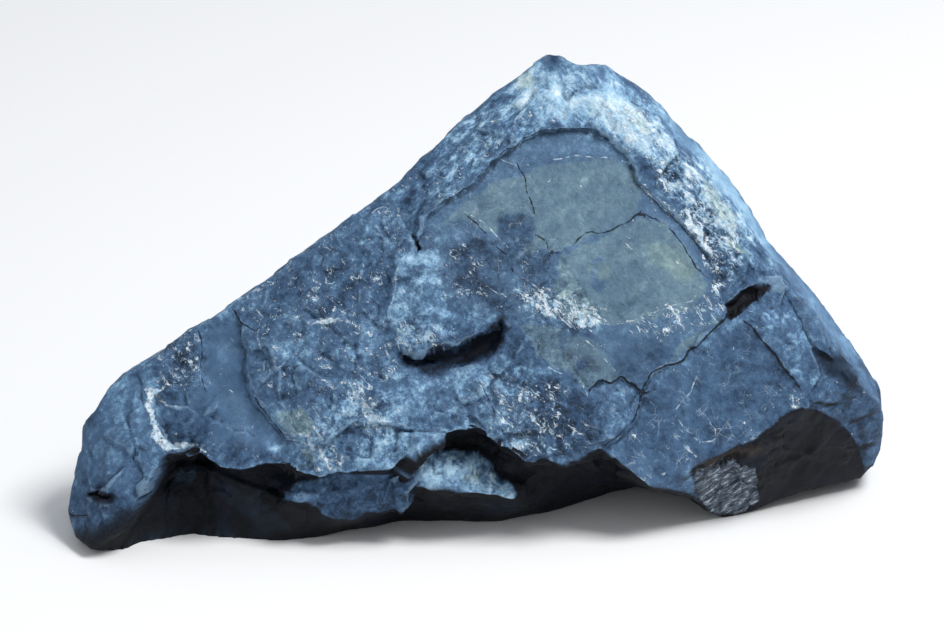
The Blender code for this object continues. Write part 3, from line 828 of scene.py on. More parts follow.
@dataclass(frozen=True)
class Markings:
    """Where the stone's stains, veins, cracks and worn places are, and its painted shade, as one number for
    each vertex.
    """

    face: FaceFrame
    plate: Line = (
        (412, 250), (418, 228), (440, 205), (470, 183), (497, 160), (520, 139), (560, 128), (605, 135),
        (628, 152), (640, 185), (662, 205), (690, 232), (712, 262), (722, 290), (705, 322), (660, 350),
        (640, 388), (600, 380), (560, 350), (520, 320), (470, 318), (430, 285),
    )
    olive: tuple[Line, ...] = (
        ((553, 168), (575, 162), (610, 159), (633, 169), (641, 190), (638, 214), (600, 235), (560, 252),
         (540, 262), (518, 250), (505, 238), (470, 225), (440, 228), (462, 205), (490, 186), (520, 178)),
        ((560, 256), (600, 240), (640, 218), (662, 224), (690, 262), (706, 290), (690, 308), (660, 316),
         (630, 322), (590, 328), (562, 318), (552, 290)),
        ((522, 320), (545, 330), (580, 336), (604, 350), (621, 374), (611, 382), (600, 382), (590, 391),
         (567, 373), (534, 352)),
        ((646, 388), (652, 368), (665, 360), (677, 341), (706, 324), (724, 308), (716, 318), (700, 336),
         (684, 352), (664, 362)),
        ((724, 232), (736, 234), (747, 255), (737, 259)),
        ((279, 410), (300, 405), (312, 420), (312, 434), (288, 434)),
    )
    navy: tuple[Line, ...] = (
        ((500, 222), (518, 213), (534, 222), (531, 240), (516, 256), (504, 252), (498, 238)),
        ((522, 262), (545, 250), (553, 266), (548, 290), (530, 300), (520, 284)),
        ((436, 262), (470, 238), (485, 262), (508, 288), (520, 316), (480, 304), (446, 286)),
        ((560, 334), (567, 338), (564, 346), (556, 342)),
        ((578, 360), (590, 362), (588, 370), (577, 368)),
        ((590, 262), (600, 256), (606, 276), (598, 296), (588, 284)),
    )
    ochre: tuple[Line, ...] = (
        ((640, 244), (652, 240), (672, 248), (690, 268), (692, 284), (676, 280), (655, 262)),
        ((588, 268), (604, 264), (612, 274), (596, 282)),
        ((700, 182), (712, 192), (733, 220), (729, 230), (717, 223), (702, 199)),
        ((516, 84), (532, 72), (537, 84), (522, 92)),
        ((622, 110), (640, 112), (648, 134), (634, 130)),
        ((726, 236), (738, 240), (744, 254), (734, 252)),
    )
    silver: Line = (
        (694, 478), (700, 470), (712, 465), (735, 460), (750, 466), (757, 478), (760, 500), (742, 511),
        (724, 514), (708, 509), (696, 496),
    )
    rust: Line = ((692, 466), (706, 460), (722, 455), (745, 445), (760, 440), (752, 450), (730, 460),
                  (708, 467))
    tone: tuple[Patch, ...] = (
        Patch(((404, 200), (435, 152), (464, 120), (501, 90), (547, 58), (560, 90), (560, 126), (520, 136),
               (470, 180), (430, 212), (408, 246)), 0.03, 4.0),
        Patch(((510, 88), (547, 58), (605, 62), (640, 85), (700, 148), (745, 200), (770, 245), (745, 250),
               (700, 190), (665, 165), (640, 150), (610, 132), (560, 122), (525, 128)), 0.14, 5.0),
        Patch(((590, 96), (640, 108), (690, 158), (738, 226), (728, 256), (712, 250), (690, 215), (650, 165),
               (606, 130)), 0.12, 4.0),
        Patch(((395, 262), (405, 255), (404, 290), (400, 320), (412, 330), (450, 324), (445, 344),
               (420, 353), (399, 347), (390, 300)), 0.12, 3.0),
        Patch(((440, 252), (470, 236), (500, 256), (520, 296), (514, 312), (470, 296),
               (446, 280)), -0.11, 3.0),
        Patch(((502, 216), (520, 213), (534, 222), (532, 242), (518, 256), (504, 250),
               (498, 234)), -0.16, 1.0),
        Patch(((528, 244), (548, 252), (552, 270), (546, 290), (530, 296), (522, 272)), -0.13, 1.2),
        Patch(((524, 142), (560, 132), (608, 140), (630, 156), (612, 158), (560, 162), (530, 170),
               (518, 156)),
              -0.05, 3.0),
        Patch(((636, 182), (650, 196), (690, 234), (712, 264), (718, 290), (706, 284), (686, 252),
               (664, 224), (640, 212)), -0.03, 3.0),
        Patch(((616, 340), (650, 330), (686, 322), (664, 358), (650, 366), (642, 384),
               (626, 372)), -0.06, 2.0),
        Patch(((438, 330), (449, 318), (460, 316), (466, 322), (483, 324), (474, 332), (466, 338),
               (456, 343), (446, 341)), -0.08, 0.8),
        Patch(((152, 340), (186, 332), (200, 334), (203, 372), (180, 388), (160, 386),
               (150, 362)), -0.14, 4.0),
        Patch(((172, 396), (200, 392), (218, 412), (212, 440), (190, 440), (168, 434),
               (162, 412)), -0.08, 5.0),
        Patch(((448, 368), (470, 362), (490, 392), (470, 440), (436, 424), (424, 385)), 0.06, 5.0),
        Patch(((245, 412), (262, 416), (285, 436), (300, 440), (292, 460), (262, 450),
               (246, 430)), 0.09, 4.0),
        Patch(((352, 388), (368, 394), (386, 426), (376, 432), (360, 412)), 0.08, 5.0),
        Patch(((316, 440), (348, 446), (350, 470), (336, 480), (322, 466)), 0.01, 5.0),
        Patch(((736, 318), (776, 294), (800, 320), (818, 352), (800, 384), (772, 350)), 0.05, 4.0),
        Patch(((418, 456), (454, 447), (478, 455), (517, 492), (515, 501), (465, 492), (440, 487),
               (421, 486)),
              0.12, 2.0),
        Patch(((494, 340), (508, 346), (520, 372), (500, 380), (488, 362)), 0.05, 3.0),
        Patch(((540, 380), (586, 396), (600, 420), (600, 446), (560, 460), (540, 430)), -0.05, 5.0),
        Patch(((200, 334), (238, 322), (248, 350), (254, 396), (236, 410), (210, 392)), -0.04, 4.0),
        # Painted shade in the notch.
        Patch(((396, 352), (411, 355), (420, 358), (433, 349), (447, 345), (458, 345), (468, 338),
               (483, 331), (497, 322), (507, 317), (505, 334), (502, 350), (490, 358), (465, 366),
               (451, 371), (436, 374), (418, 368), (406, 363)), -0.36, 2.6),
        Patch(((60, 480), (92, 474), (130, 492), (134, 512), (110, 540), (76, 540)), -0.12, 8.0),
        Patch(((196, 396), (240, 408), (286, 440), (300, 462), (240, 466), (200, 452)), -0.03, 5.0),
        Patch(((612, 450), (645, 400), (700, 350), (742, 322), (798, 390), (745, 436), (690, 466),
               (650, 486)),
              -0.095, 3.0),
        Patch(((650, 96), (703, 148), (752, 208), (794, 268), (841, 328), (890, 420), (866, 384), (845, 362),
               (819, 336), (790, 290), (772, 262), (735, 205), (690, 150)), 0.08, 3.0),
        Patch(((524, 142), (560, 132), (608, 140), (626, 154), (560, 162), (530, 166)), 0.05, 3.0),
        Patch(((325, 480), (400, 478), (420, 490), (372, 514), (330, 524), (318, 506)), -0.16, 3.0),
        Patch(((506, 288), (545, 284), (608, 312), (600, 334), (560, 328), (518, 314)), 0.03, 3.0),
        Patch(((520, 132), (560, 126), (608, 134), (632, 158), (600, 158), (560, 162), (530, 168),
               (506, 176)),
              0.07, 3.0),
        Patch(((262, 408), (300, 400), (400, 392), (420, 440), (400, 462), (320, 470)), 0.04, 6.0),
        Patch(((276, 300), (380, 296), (388, 392), (280, 400)), 0.025, 6.0),
        Patch(((340, 232), (404, 196), (410, 262), (360, 280)), 0.05, 5.0),
        Patch(((540, 380), (592, 392), (600, 440), (540, 446)), -0.09, 5.0),
        Patch(((466, 314), (502, 314), (500, 322), (486, 324), (468, 322)), 0.08, 1.5),
        Patch(((400, 262), (440, 262), (444, 340), (404, 344)), 0.04, 4.0),
        Patch(((748, 226), (766, 236), (790, 268), (786, 282), (764, 262)), 0.09, 3.0),
        Patch(((545, 64), (600, 70), (625, 100), (600, 124), (560, 118), (535, 96)), 0.06, 5.0),
        Patch(((440, 160), (500, 100), (540, 70), (540, 110), (500, 130), (450, 190)), 0.04, 5.0),
        Patch(((512, 288), (548, 284), (572, 300), (566, 338), (524, 328)), 0.04, 3.0),
        # Painted shade under the notch's lip.
        Patch(((420, 356), (447, 346), (483, 333), (504, 324), (498, 348), (460, 360),
               (430, 368)), -0.10, 2.0),
        Patch(((418, 452), (454, 442), (478, 446), (517, 488), (515, 503), (465, 494), (440, 489),
               (421, 488)),
              0.07, 2.0),
        Patch(((300, 400), (350, 380), (400, 380), (420, 440), (400, 462), (320, 470)), -0.01, 6.0),
        Patch(((506, 372), (560, 390), (596, 400), (598, 442), (560, 456), (520, 450)), -0.04, 6.0),
        Patch(((436, 250), (470, 238), (520, 262), (520, 316), (480, 304), (446, 286)), -0.06, 3.0),
        Patch(((640, 110), (690, 158), (738, 226), (728, 256), (690, 220), (650, 170)), -0.085, 4.0),
        Patch(((558, 322), (604, 350), (621, 374), (600, 384), (567, 373), (534, 352),
               (524, 322)), -0.035, 3.0),
        Patch(((806, 404), (868, 392), (886, 430), (868, 480), (846, 436)), -0.11, 4.0),
        Patch(((292, 400), (350, 380), (400, 380), (430, 440), (400, 462), (320, 470),
               (296, 440)), 0.05, 8.0),
        Patch(((430, 366), (500, 362), (508, 400), (480, 440), (436, 440), (410, 400)), 0.05, 6.0),
        Patch(((600, 96), (640, 108), (700, 170), (690, 190), (640, 150), (600, 130), (540, 118),
               (520, 100)),
              0.06, 5.0),
        Patch(((412, 260), (440, 252), (455, 290), (450, 320), (420, 330), (405, 310)), 0.05, 3.0),
        Patch(((449, 316), (502, 317), (476, 331), (455, 345), (436, 333)), 0.07, 1.5),
        Patch(((740, 262), (756, 254), (764, 276), (752, 284), (742, 290)), -0.08, 2.0),
        Patch(((700, 226), (722, 250), (728, 290), (716, 296), (706, 262)), -0.05, 3.0),
        Patch(((255, 290), (330, 246), (384, 250), (392, 300), (360, 330), (300, 320),
               (262, 330)), -0.085, 6.0),
        Patch(((410, 196), (440, 176), (442, 204), (418, 228), (408, 250)), -0.04, 4.0),
    )
    blots: tuple[Blot, ...] = (
        Blot((225, 360), 26, 0.04), Blot((130, 395), 24, 0.03), Blot((118, 455), 20, 0.05),
        Blot((90, 430), 18, -0.03), Blot((320, 380), 26, -0.08), Blot((345, 340), 20, -0.06),
        Blot((300, 360), 20, 0.05), Blot((285, 395), 18, -0.06), Blot((360, 300), 14, 0.05),
        Blot((404, 232), 14, -0.06), Blot((380, 330), 16, 0.05), Blot((400, 400), 26, 0.05),
        Blot((420, 440), 18, 0.03), Blot((340, 460), 16, -0.02), Blot((565, 352), 7, -0.12),
        Blot((584, 366), 6, -0.14), Blot((543, 342), 6, -0.08), Blot((660, 300), 26, 0.03),
        Blot((600, 290), 20, -0.03), Blot((620, 200), 22, -0.02), Blot((580, 185), 20, 0.01),
        Blot((552, 60), 8, -0.34), Blot((600, 72), 10, -0.10), Blot((640, 86), 12, -0.14),
        Blot((575, 100), 18, 0.04), Blot((660, 140), 16, 0.03), Blot((705, 240), 14, -0.08),
        Blot((752, 246), 10, -0.10), Blot((700, 400), 30, 0.01),
        # The blots at (846, 378) and (822, 358) are painted shadow beside the flank's raised edge.
        Blot((660, 420), 24, -0.02), Blot((720, 355), 16, -0.02), Blot((846, 378), 12, -0.12),
        Blot((822, 358), 10, -0.14), Blot((545, 420), 24, 0.02), Blot((520, 365), 16, -0.05),
        Blot((430, 275), 14, 0.03), Blot((460, 290), 18, -0.04), Blot((250, 330), 16, -0.03),
        Blot((190, 320), 14, -0.06), Blot((330, 250), 20, -0.03), Blot((250, 450), 22, -0.03),
        Blot((470, 305), 12, 0.07),
    )
    grit: tuple[Patch, ...] = (
        Patch(((200, 334), (238, 320), (248, 345), (255, 400), (285, 436), (262, 452), (212, 440),
               (176, 400), (206, 384)), -0.62, 5.0),
        Patch(((412, 250), (440, 205), (497, 160), (560, 130), (628, 152), (662, 205), (712, 262),
               (705, 322), (640, 388), (600, 380), (560, 350), (560, 320), (600, 318), (560, 250),
               (520, 236), (440, 240)),
              -0.42, 3.0),
        Patch(((612, 450), (645, 400), (700, 350), (742, 322), (798, 390), (745, 436), (690, 466),
               (650, 486)),
              -0.38, 3.0),
        Patch(((650, 96), (703, 148), (752, 208), (794, 268), (841, 328), (890, 420), (866, 384), (845, 362),
               (819, 336), (790, 290), (772, 262), (735, 205), (690, 150)), -0.82, 3.0),
        Patch(((69, 500), (80, 440), (110, 390), (150, 365), (152, 400), (160, 440), (135, 480), (80, 500)),
              -0.30, 5.0),
        Patch(((640, 110), (700, 180), (740, 250), (722, 300), (700, 250), (660, 190)), 0.55, 4.0),
        Patch(((350, 385), (390, 392), (400, 450), (300, 470), (310, 430)), 0.45, 5.0),
        Patch(((505, 285), (560, 280), (608, 312), (600, 338), (540, 328)), 0.6, 3.0),
        Patch(((500, 335), (560, 380), (590, 450), (520, 460), (490, 400)), 0.35, 4.0),
        Patch(((150, 335), (204, 330), (204, 385), (156, 390)), 0.35, 4.0),
        Patch(((760, 440), (800, 407), (835, 420), (862, 452), (868, 484), (800, 500),
               (764, 506)), -0.7, 3.0),
        Patch(((395, 318), (455, 322), (445, 350), (398, 352)), 0.45, 3.0),
        Patch(((520, 70), (547, 52), (605, 58), (648, 92), (690, 140), (680, 176), (640, 150), (606, 128),
               (560, 122), (524, 130)), -0.28, 5.0),
    )
    streak: tuple[Patch, ...] = (
        Patch(((404, 200), (435, 152), (464, 120), (501, 90), (547, 50), (605, 60), (640, 90), (690, 150),
               (735, 208), (770, 262), (776, 284), (740, 270), (722, 285), (700, 240), (664, 200),
               (640, 165), (610, 132), (560, 126), (520, 136), (470, 180), (430, 212),
               (408, 246)), 0.9, 6.0),
        Patch(((196, 396), (240, 408), (286, 440), (300, 462), (240, 466), (200, 452)), 0.4, 5.0),
    )
    # Painted shade and shadow: beside the flank's raised edge, at the left foot, in two pits and at the right
    # end.
    gloom: tuple[Patch, ...] = (
        Patch(((812, 346), (824, 352), (836, 358), (848, 372), (866, 386), (862, 393), (846, 388),
               (832, 380), (822, 374), (814, 362)), 0.55, 3.0),
        Patch(((784, 298), (790, 298), (806, 322), (818, 344), (812, 348), (798, 324)), 0.35, 1.6),
        Patch(((60, 534), (96, 526), (120, 510), (142, 500), (140, 525), (125, 560), (90, 562),
               (56, 556)), 0.7, 7.0),
        Patch(((90, 494), (104, 489), (119, 493), (115, 502), (99, 503)), 0.85, 1.2),
        Patch(((408, 234), (412, 236), (422, 252), (417, 254), (411, 248)), 0.8, 0.8),
        Patch(((854, 410), (868, 426), (872, 452), (866, 470), (860, 440)), 0.5, 2.0),
    )
    # Painted shadow, crisp and dark: the heel facet, the narrow gap on the right and the band under the lip
    # above the lit shelf.
    gaps: tuple[Patch, ...] = (
        Patch(((688, 470), (716, 456), (745, 441), (776, 421), (800, 405), (815, 408), (835, 419),
               (850, 432), (862, 452), (868, 484), (800, 500), (716, 528), (704, 514)), 0.9, 0.5),
        Patch(((722, 306), (741, 291), (759, 283), (779, 282), (768, 293), (750, 303), (738, 312),
               (727, 317)),
              0.95, 0.5),
        Patch(((722, 317), (730, 309), (738, 311), (728, 320)), 1.0, 0.5),
        Patch(((412, 452), (433, 440), (454, 432), (479, 431), (495, 446), (484, 452), (470, 447),
               (454, 446), (436, 450), (418, 455)), 0.9, 0.6),
    )
    # Facets under the front edge where the painted shade is lighter.
    half_lit: tuple[Patch, ...] = (
        Patch(((206, 476), (236, 480), (262, 494), (286, 516), (292, 530), (262, 534), (240, 516),
               (214, 496)),
              0.32, 2.5),
        Patch(((286, 520), (300, 505), (318, 514), (350, 522), (330, 534), (296, 538)), 0.22, 2.5),
        Patch(((560, 470), (610, 458), (640, 480), (600, 492), (560, 500), (530, 506),
               (520, 490)), 0.16, 3.0),
    )
    lit_shelves: tuple[Line, ...] = (
        ((418, 455), (454, 443), (478, 448), (502, 466), (521, 491), (516, 501), (465, 492), (440, 487),
         (421, 486)),
        ((277, 499), (300, 481), (336, 477), (390, 471), (401, 461), (410, 455), (421, 455), (432, 488),
         (416, 497), (398, 503), (382, 513), (360, 517), (345, 528), (328, 531), (322, 514), (308, 506),
         (296, 503)),
        ((162, 484), (176, 470), (196, 468), (199, 480)),
        ((60, 470), (130, 470), (134, 516), (108, 540), (70, 544), (60, 520)),
    )
    fleck_patches: tuple[Patch, ...] = (
        Patch(((514, 290), (545, 284), (575, 296), (606, 314), (598, 334), (560, 326),
               (522, 312)), 1.05, 4.0),
        Patch(((432, 250), (470, 236), (520, 300), (500, 312), (440, 296)), 0.45, 4.0),
        Patch(((150, 345), (196, 334), (202, 385), (160, 388)), 0.6, 4.0),
        Patch(((300, 432), (350, 440), (350, 480), (316, 478)), 0.55, 6.0),
        Patch(((348, 385), (370, 388), (390, 430), (374, 434)), 0.60, 6.0),
        Patch(((395, 320), (450, 322), (445, 350), (400, 350)), 0.55, 5.0),
        Patch(((470, 360), (560, 380), (590, 450), (520, 460), (480, 430)), 0.7, 6.0),
        Patch(((260, 250), (400, 190), (410, 330), (380, 440), (290, 440), (255, 380)), 0.45, 8.0),
        Patch(((590, 100), (650, 108), (746, 230), (728, 284), (690, 240), (640, 160),
               (600, 130)), 0.75, 4.0),
        Patch(((410, 190), (500, 92), (560, 60), (600, 130), (520, 136), (430, 210)), 0.35, 4.0),
        Patch(((600, 322), (640, 314), (720, 286), (724, 314), (700, 332), (640, 336)), 0.7, 3.0),
        Patch(((640, 182), (700, 232), (726, 290), (716, 300), (690, 244), (640, 200)), 0.7, 2.0),
        Patch(((786, 392), (802, 392), (806, 408), (790, 408)), 0.8, 2.0),
    )
    web_patches: tuple[Patch, ...] = (
        Patch(((612, 450), (645, 400), (700, 350), (742, 322), (790, 385), (745, 436), (690, 466),
               (650, 482)),
              0.55, 4.0),
        Patch(((640, 420), (700, 400), (745, 430), (700, 462), (650, 482), (620, 455)), 0.45, 4.0),
        Patch(((420, 200), (520, 150), (560, 230), (540, 300), (430, 280)), 0.7, 5.0),
        Patch(((540, 330), (640, 380), (600, 440), (540, 420)), 0.6, 5.0),
        Patch(((415, 375), (500, 365), (520, 450), (430, 430)), 0.35, 5.0),
    )
    veins: tuple[Vein, ...] = (
        Vein(((145, 387), (150, 390), (157, 391)), 0.6, 1.1),
        Vein(((153, 390), (152, 404), (155, 416), (158, 428), (162, 438)), 1.0, 0.8),
        Vein(((158, 434), (166, 443), (175, 445), (184, 443)), 1.4, 1.3),
        Vein(((182, 443), (193, 442), (202, 449), (209, 453)), 0.8, 0.3),
        Vein(((158, 392), (163, 386), (170, 381)), 0.4, 0.2),
        Vein(((159, 396), (163, 402), (168, 406), (174, 407), (182, 405), (187, 403)), 0.28, 0.22),
        Vein(((299, 311), (303, 318), (309, 323)), 0.22, 0.32),
        Vein(((309, 324), (302, 329), (293, 335), (286, 342)), 0.34, 0.2),
        Vein(((262, 328), (262, 348)), 0.3, 0.2),
        Vein(((381, 259), (378, 267), (377, 275)), 0.3, 0.25),
        Vein(((309, 323), (322, 322), (334, 320), (341, 321)), 0.5, 0.8),
        Vein(((310, 436), (312, 446)), 0.5, 0.8),
        Vein(((320, 444), (326, 456), (336, 470), (338, 476)), 0.6, 0.9),
        Vein(((342, 451), (347, 460)), 0.4, 0.6),
        Vein(((354, 391), (362, 402), (368, 408)), 0.5, 0.8),
        Vein(((368, 408), (376, 418), (384, 426)), 0.7, 0.3),
        Vein(((188, 333), (194, 331), (199, 342)), 0.4, 0.7),
        Vein(((252, 290), (258, 287), (264, 286)), 0.6, 0.3),
        Vein(((743, 440), (750, 436), (757, 432)), 0.25, 0.35),
        Vein(((655, 478), (662, 474), (668, 474)), 0.2, 0.4),
        Vein(((181, 464), (183, 480)), 0.3, 0.4),
        Vein(((195, 472), (199, 480)), 0.4, 0.3),
    )
    hairs: tuple[Line, ...] = (
        ((251, 288), (250, 298), (256, 306), (260, 312)),
        ((262, 315), (262, 332), (264, 352), (263, 370)),
        ((387, 206), (380, 210), (375, 213)),
        ((397, 268), (395, 281), (393, 296), (392, 311), (394, 330), (398, 348)),
        ((543, 360), (554, 370), (570, 376), (581, 386), (586, 397)),
        ((585, 342), (600, 356), (620, 375)),
        ((500, 162), (520, 170), (545, 163), (575, 158), (612, 158), (632, 166)),
        ((478, 222), (500, 238), (520, 262), (530, 284)),
        ((640, 186), (660, 206), (690, 236), (712, 268)),
        ((600, 326), (630, 320), (662, 308), (690, 300)),
        ((675, 415), (684, 428), (697, 441), (715, 440), (720, 431), (708, 420)),
        ((676, 434), (682, 446), (695, 457)),
        ((694, 356), (697, 376), (688, 392), (676, 408)),
        ((806, 340), (816, 356), (826, 372)),
    )
    cracks: tuple[Line, ...] = (
        ((517, 167), (526, 182), (532, 199), (533, 217)),
        ((639, 215), (621, 225), (600, 235), (586, 234), (565, 251), (552, 256)),
        ((641, 215), (660, 223), (671, 234), (680, 247), (693, 269), (708, 282)),
        ((465, 217), (487, 238), (508, 258), (513, 271)),
        ((534, 236), (542, 243), (550, 256)),
        ((589, 391), (600, 383), (611, 384), (623, 377), (641, 393), (650, 372), (662, 363), (680, 359),
         (687, 350), (695, 346), (703, 336), (711, 328), (723, 319)),
        ((641, 393), (655, 391)),
        ((600, 448), (612, 436), (623, 427), (632, 416), (640, 405), (641, 393)),
        ((743, 321), (757, 336), (772, 355), (786, 373), (799, 388)),
        ((500, 158), (520, 140), (540, 132), (560, 129), (588, 132)),
        ((201, 334), (203, 356), (205, 372), (209, 390)),
        ((255, 398), (268, 412), (284, 433)),
        ((470, 365), (486, 390), (500, 420), (515, 455)),
        ((70, 511), (80, 515), (92, 514)),
        ((238, 312), (246, 324), (258, 331)),
    )
    # Painted shadow under ledges: cracks along these lines are drawn bolder and unbroken.
    ledge_shadows: tuple[Line, ...] = (
        ((589, 391), (600, 383), (611, 384), (623, 377), (641, 393), (650, 372), (662, 363), (680, 359),
         (687, 350), (695, 346), (703, 336), (711, 328), (723, 319)),
        ((398, 352), (411, 355), (420, 359), (436, 373), (450, 371)),
        ((753, 333), (772, 355), (786, 373), (796, 384)),
    )
    far: float = 12.0
    line_reach: float = 0.95

    def areas(self, spots: np.ndarray, outlines: tuple[Line, ...]) -> np.ndarray:
        """Distance into the nearest of some outlines, above 0 inside."""
        return np.max([inside(spots, self.face.places(outline), self.far) for outline in outlines], axis=0)

    def patches(self, spots: np.ndarray, patches: tuple[Patch, ...]) -> np.ndarray:
        """Strengths of soft-edged patches added up.

        Args:
            spots: places as (u, v) rows.
            patches: the patches.

        Returns:
            The total at each place.
        """
        total = np.zeros(len(spots))
        for patch in patches:
            depth = inside(spots, self.face.places(patch.outline), self.far)
            total += patch.strength * smooth(depth / patch.edge + 0.5)
        return total

    def nearest_line(self, spots: np.ndarray, lines: tuple[Line, ...]) -> tuple[np.ndarray, np.ndarray]:
        """Distance to the nearest of some lines.

        Args:
            spots: places as (u, v) rows.
            lines: the lines, in photograph places.

        Returns:
            The distance, above 0 on the line's right and below 0 on its left, and the same without its sign.
        """
        best = np.full(len(spots), self.far)
        signed = np.full(len(spots), self.far)
        for line in lines:
            gap, side, _ = from_line(spots, self.face.places(line), self.far)
            closer = gap < best
            signed = np.where(closer, gap * side, signed)
            best = np.where(closer, gap, best)
        return signed, best

    def vein_depth(self, spots: np.ndarray) -> np.ndarray:
        """How far inside the nearest calcite band places are: its half width there, less the gap to its line.

        Args:
            spots: places as (u, v) rows.

        Returns:
            The depth at each place, below 0 outside.
        """
        best = np.full(len(spots), -self.far)
        for vein in self.veins:
            line = self.face.places(vein.line)
            gap, _, _ = from_line(spots, line, self.far)
            run = line[-1] - line[0]
            along = np.clip((spots - line[0]) @ run / (run @ run), 0.0, 1.0)
            best = np.maximum(best, vein.start + (vein.end - vein.start) * along - gap)
        return best

    def read(self, spots: np.ndarray, points: np.ndarray, normals: np.ndarray, undercut: np.ndarray,
             standout: np.ndarray) -> dict[Ground, np.ndarray]:
        """Every marking at every vertex.

        Args:
            spots: the (u, v) that the relief was read at.
            points: places in the face frame.
            normals: outward directions in the face frame, averaged over a few millimetres.
            undercut: 1 where the surface belongs to the undercut foot, 0 elsewhere.
            standout: how much each place stands out above 0 or is sunk below 0, from -1 to 1.

        Returns:
            One number for each vertex, for each marking.
        """
        loose = spots + 1.0 * np.stack([swell(points, 6.0, 90 + axis) for axis in range(2)], axis=-1)
        front = smooth((normals[:, 2] + 0.05) / 0.3)
        shelf = smooth(self.areas(loose, self.lit_shelves) / 1.5 + 0.5)
        sky = normals[:, 1] * math.cos(self.face.lean) + normals[:, 2] * math.sin(self.face.lean)
        depth = points[:, 1] * math.sin(self.face.lean) - points[:, 2] * math.cos(self.face.lean)
        fore = smooth((58.0 - depth) / 22.0)
        # Painted shade on places that face down, weaker towards the back.
        below = fore * smooth((-sky - 0.2) / 0.45) + (1.0 - fore) * 0.6 * smooth((-sky - 0.45) / 0.45)
        half = np.clip(self.patches(loose, self.half_lit), 0.0, 1.0)
        # Painted shade over the undercut foot, less on its lit shelves and half-lit facets, plus the shade
        # and gap patches.
        gloom = np.maximum(undercut * (1.0 - np.maximum(0.9 * shelf, half)), below)
        gloom = np.maximum(gloom, self.patches(loose, self.gloom) * front)
        gloom = np.maximum(gloom, self.patches(spots, self.gaps) * np.maximum(front, fore))
        tone = self.patches(loose, self.tone)
        for blot in self.blots:
            middle = self.face.places((blot.place,))[0]
            gap = np.hypot(*(loose - middle).T) / (blot.radius * self.face.scale)
            tone += blot.strength * np.exp(-gap ** 2)
        hair_side, hair_near = self.nearest_line(spots, self.hairs)
        crack_side, crack_near = self.nearest_line(spots, self.cracks)
        _, ledge_shadow_near = self.nearest_line(spots, self.ledge_shadows)
        hidden = self.far * (1.0 - front)
        buried = hidden + self.far * undercut
        return {
            Ground.PLATE: inside(loose, self.face.places(self.plate), self.far) - hidden,
            Ground.OLIVE: np.minimum(self.areas(loose, self.olive), -self.areas(loose, self.navy)) - hidden,
            Ground.OCHRE: self.areas(loose, self.ochre) - hidden,
            Ground.SILVER: inside(loose, self.face.places(self.silver), self.far) - hidden,
            Ground.RUST: inside(loose, self.face.places(self.rust), self.far) - hidden,
            Ground.TONE: tone * front + 0.10 * smooth((sky - 0.1) / 0.8) * (1.0 - front),
            Ground.GRIT: 1.0 + self.patches(loose, self.grit) * front,
            Ground.STREAK: 0.35 + self.patches(loose, self.streak) * front,
            Ground.PAINTED_SHADE: gloom,
            Ground.FLECKS: (0.15 + self.patches(loose, self.fleck_patches)) * front * (1.0 - undercut),
            Ground.WEB: self.patches(loose, self.web_patches) * front * (1.0 - undercut),
            Ground.VEIN: self.vein_depth(spots) - buried,
            Ground.HAIR_SIDE: hair_side,
            Ground.HAIR_NEAR: self.line_reach - hair_near - buried,
            Ground.CRACK_SIDE: crack_side,
            Ground.CRACK_NEAR: self.line_reach - crack_near - buried,
            Ground.LEDGE_SHADOW: smooth(2.2 - ledge_shadow_near),
            Ground.STANDOUT: standout,
            Ground.SKY: sky,
            Ground.FRONT: front,
        }


